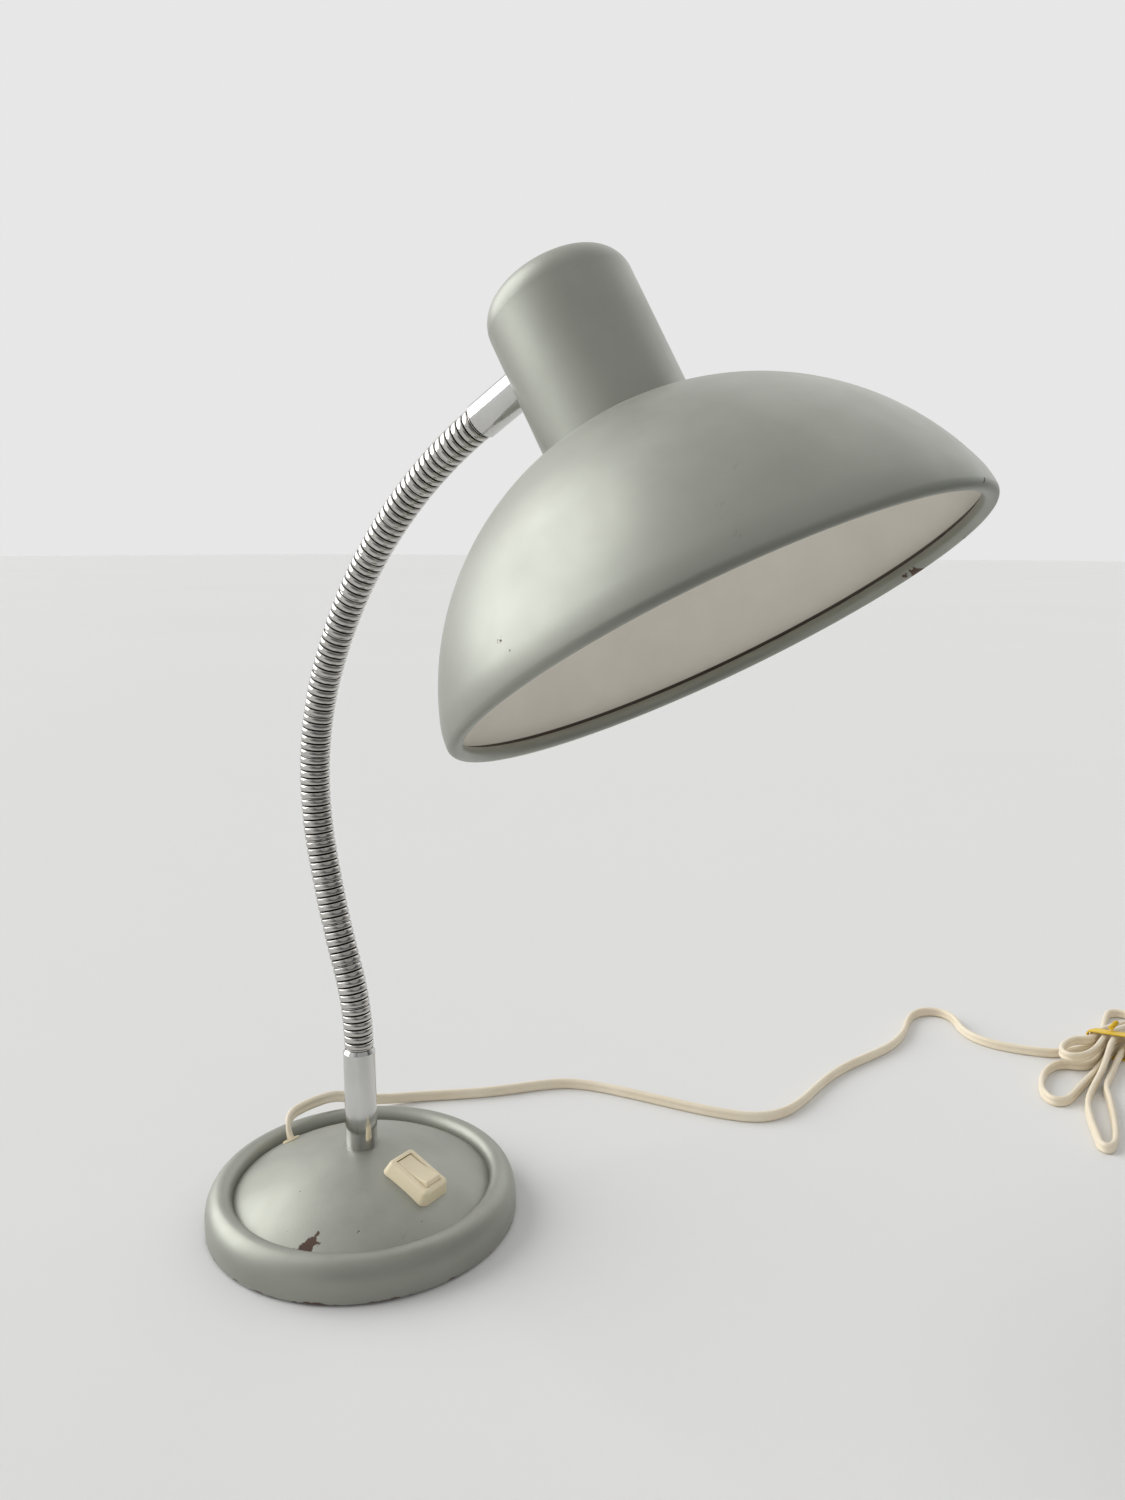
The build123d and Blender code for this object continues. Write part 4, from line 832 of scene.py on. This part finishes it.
# Studio: pale floor, soft lights, and the camera where the photograph was taken
def pale_floor():
    """Floor that the lamp stands on, dimmer in mirrors on one side so that chrome has contrast."""
    bm = bmesh.new()
    bmesh.ops.create_grid(bm, x_segments=1, y_segments=1, size=floor_size)
    material, tree, shader = new_finish("floor_paint", roughness=0.85)
    tone = effect(tree, mottle, colour=floor_tone, other=floor_other, scale=0.6, amount=0.5)
    aside = add_node(tree, "ShaderNodeVectorMath", {0: object_coords(tree), 1: dim_way},
                     operation="DOT_PRODUCT").outputs["Value"]
    rays = tree.nodes.new("ShaderNodeLightPath")
    dimmed = math(tree, "MULTIPLY", rays.outputs["Is Glossy Ray"], ramp(tree, aside, *floor_fade))
    tree.links.new(mix_colour(tree, dimmed, tone, floor_dim), shader.inputs["Base Color"])
    floor = finish_piece(bm, "floor", material)


def studio_world():
    """Even sky: a plain level for light, pale where it is seen, and dimmer in mirrors on one side."""
    world = bpy.data.worlds.new("studio")
    world.use_nodes = True
    tree = world.node_tree
    rays = tree.nodes.new("ShaderNodeLightPath")
    seen = math(tree, "MAXIMUM", rays.outputs["Is Camera Ray"], rays.outputs["Is Transmission Ray"])
    level = ramp(tree, seen, 0.0, 1.0, sky_light, sky_seen)
    way = tree.nodes.new("ShaderNodeTexCoord").outputs["Generated"]
    front = add_node(tree, "ShaderNodeVectorMath", {0: way, 1: dim_way},
                     operation="DOT_PRODUCT").outputs["Value"]
    mirrored = ramp(tree, front, *sky_fade, sky_seen, sky_dim)
    keep = math(tree, "SUBTRACT", 1.0, rays.outputs["Is Glossy Ray"])
    level = math(tree, "ADD", math(tree, "MULTIPLY", level, keep),
                 math(tree, "MULTIPLY", mirrored, rays.outputs["Is Glossy Ray"]))
    backdrop = tree.nodes["Background"]
    backdrop.inputs["Color"].default_value = (1, 1, 1, 1)
    tree.links.new(level, backdrop.inputs["Strength"])
    bpy.context.scene.world = world


def soft_sun(name, place, angle, strength):
    """Wide, even light from a direction."""
    lamp = bpy.data.lights.new(name, "SUN")
    lamp.angle = radians(angle)
    lamp.energy = strength
    light = bpy.data.objects.new(name, lamp)
    light.matrix_world = (-Vector(place)).to_track_quat("-Z", "Y").to_matrix().to_4x4()
    bpy.context.scene.collection.objects.link(light)


pale_floor()
studio_world()
for sun in suns:
    soft_sun(*sun)

camera_data = bpy.data.cameras.new("photo_camera")
camera_data.lens = camera_lens
camera = bpy.data.objects.new("photo_camera", camera_data)
camera_right = camera_forward.cross(camera_upward).normalized()
camera_up = camera_right.cross(camera_forward).normalized()
turn = Matrix((camera_right, camera_up, -camera_forward.normalized())).transposed().to_4x4()
camera.matrix_world = Matrix.Translation(camera_place) @ turn
bpy.context.scene.collection.objects.link(camera)
bpy.context.scene.camera = camera
bpy.context.scene.view_settings.view_transform = "Standard"
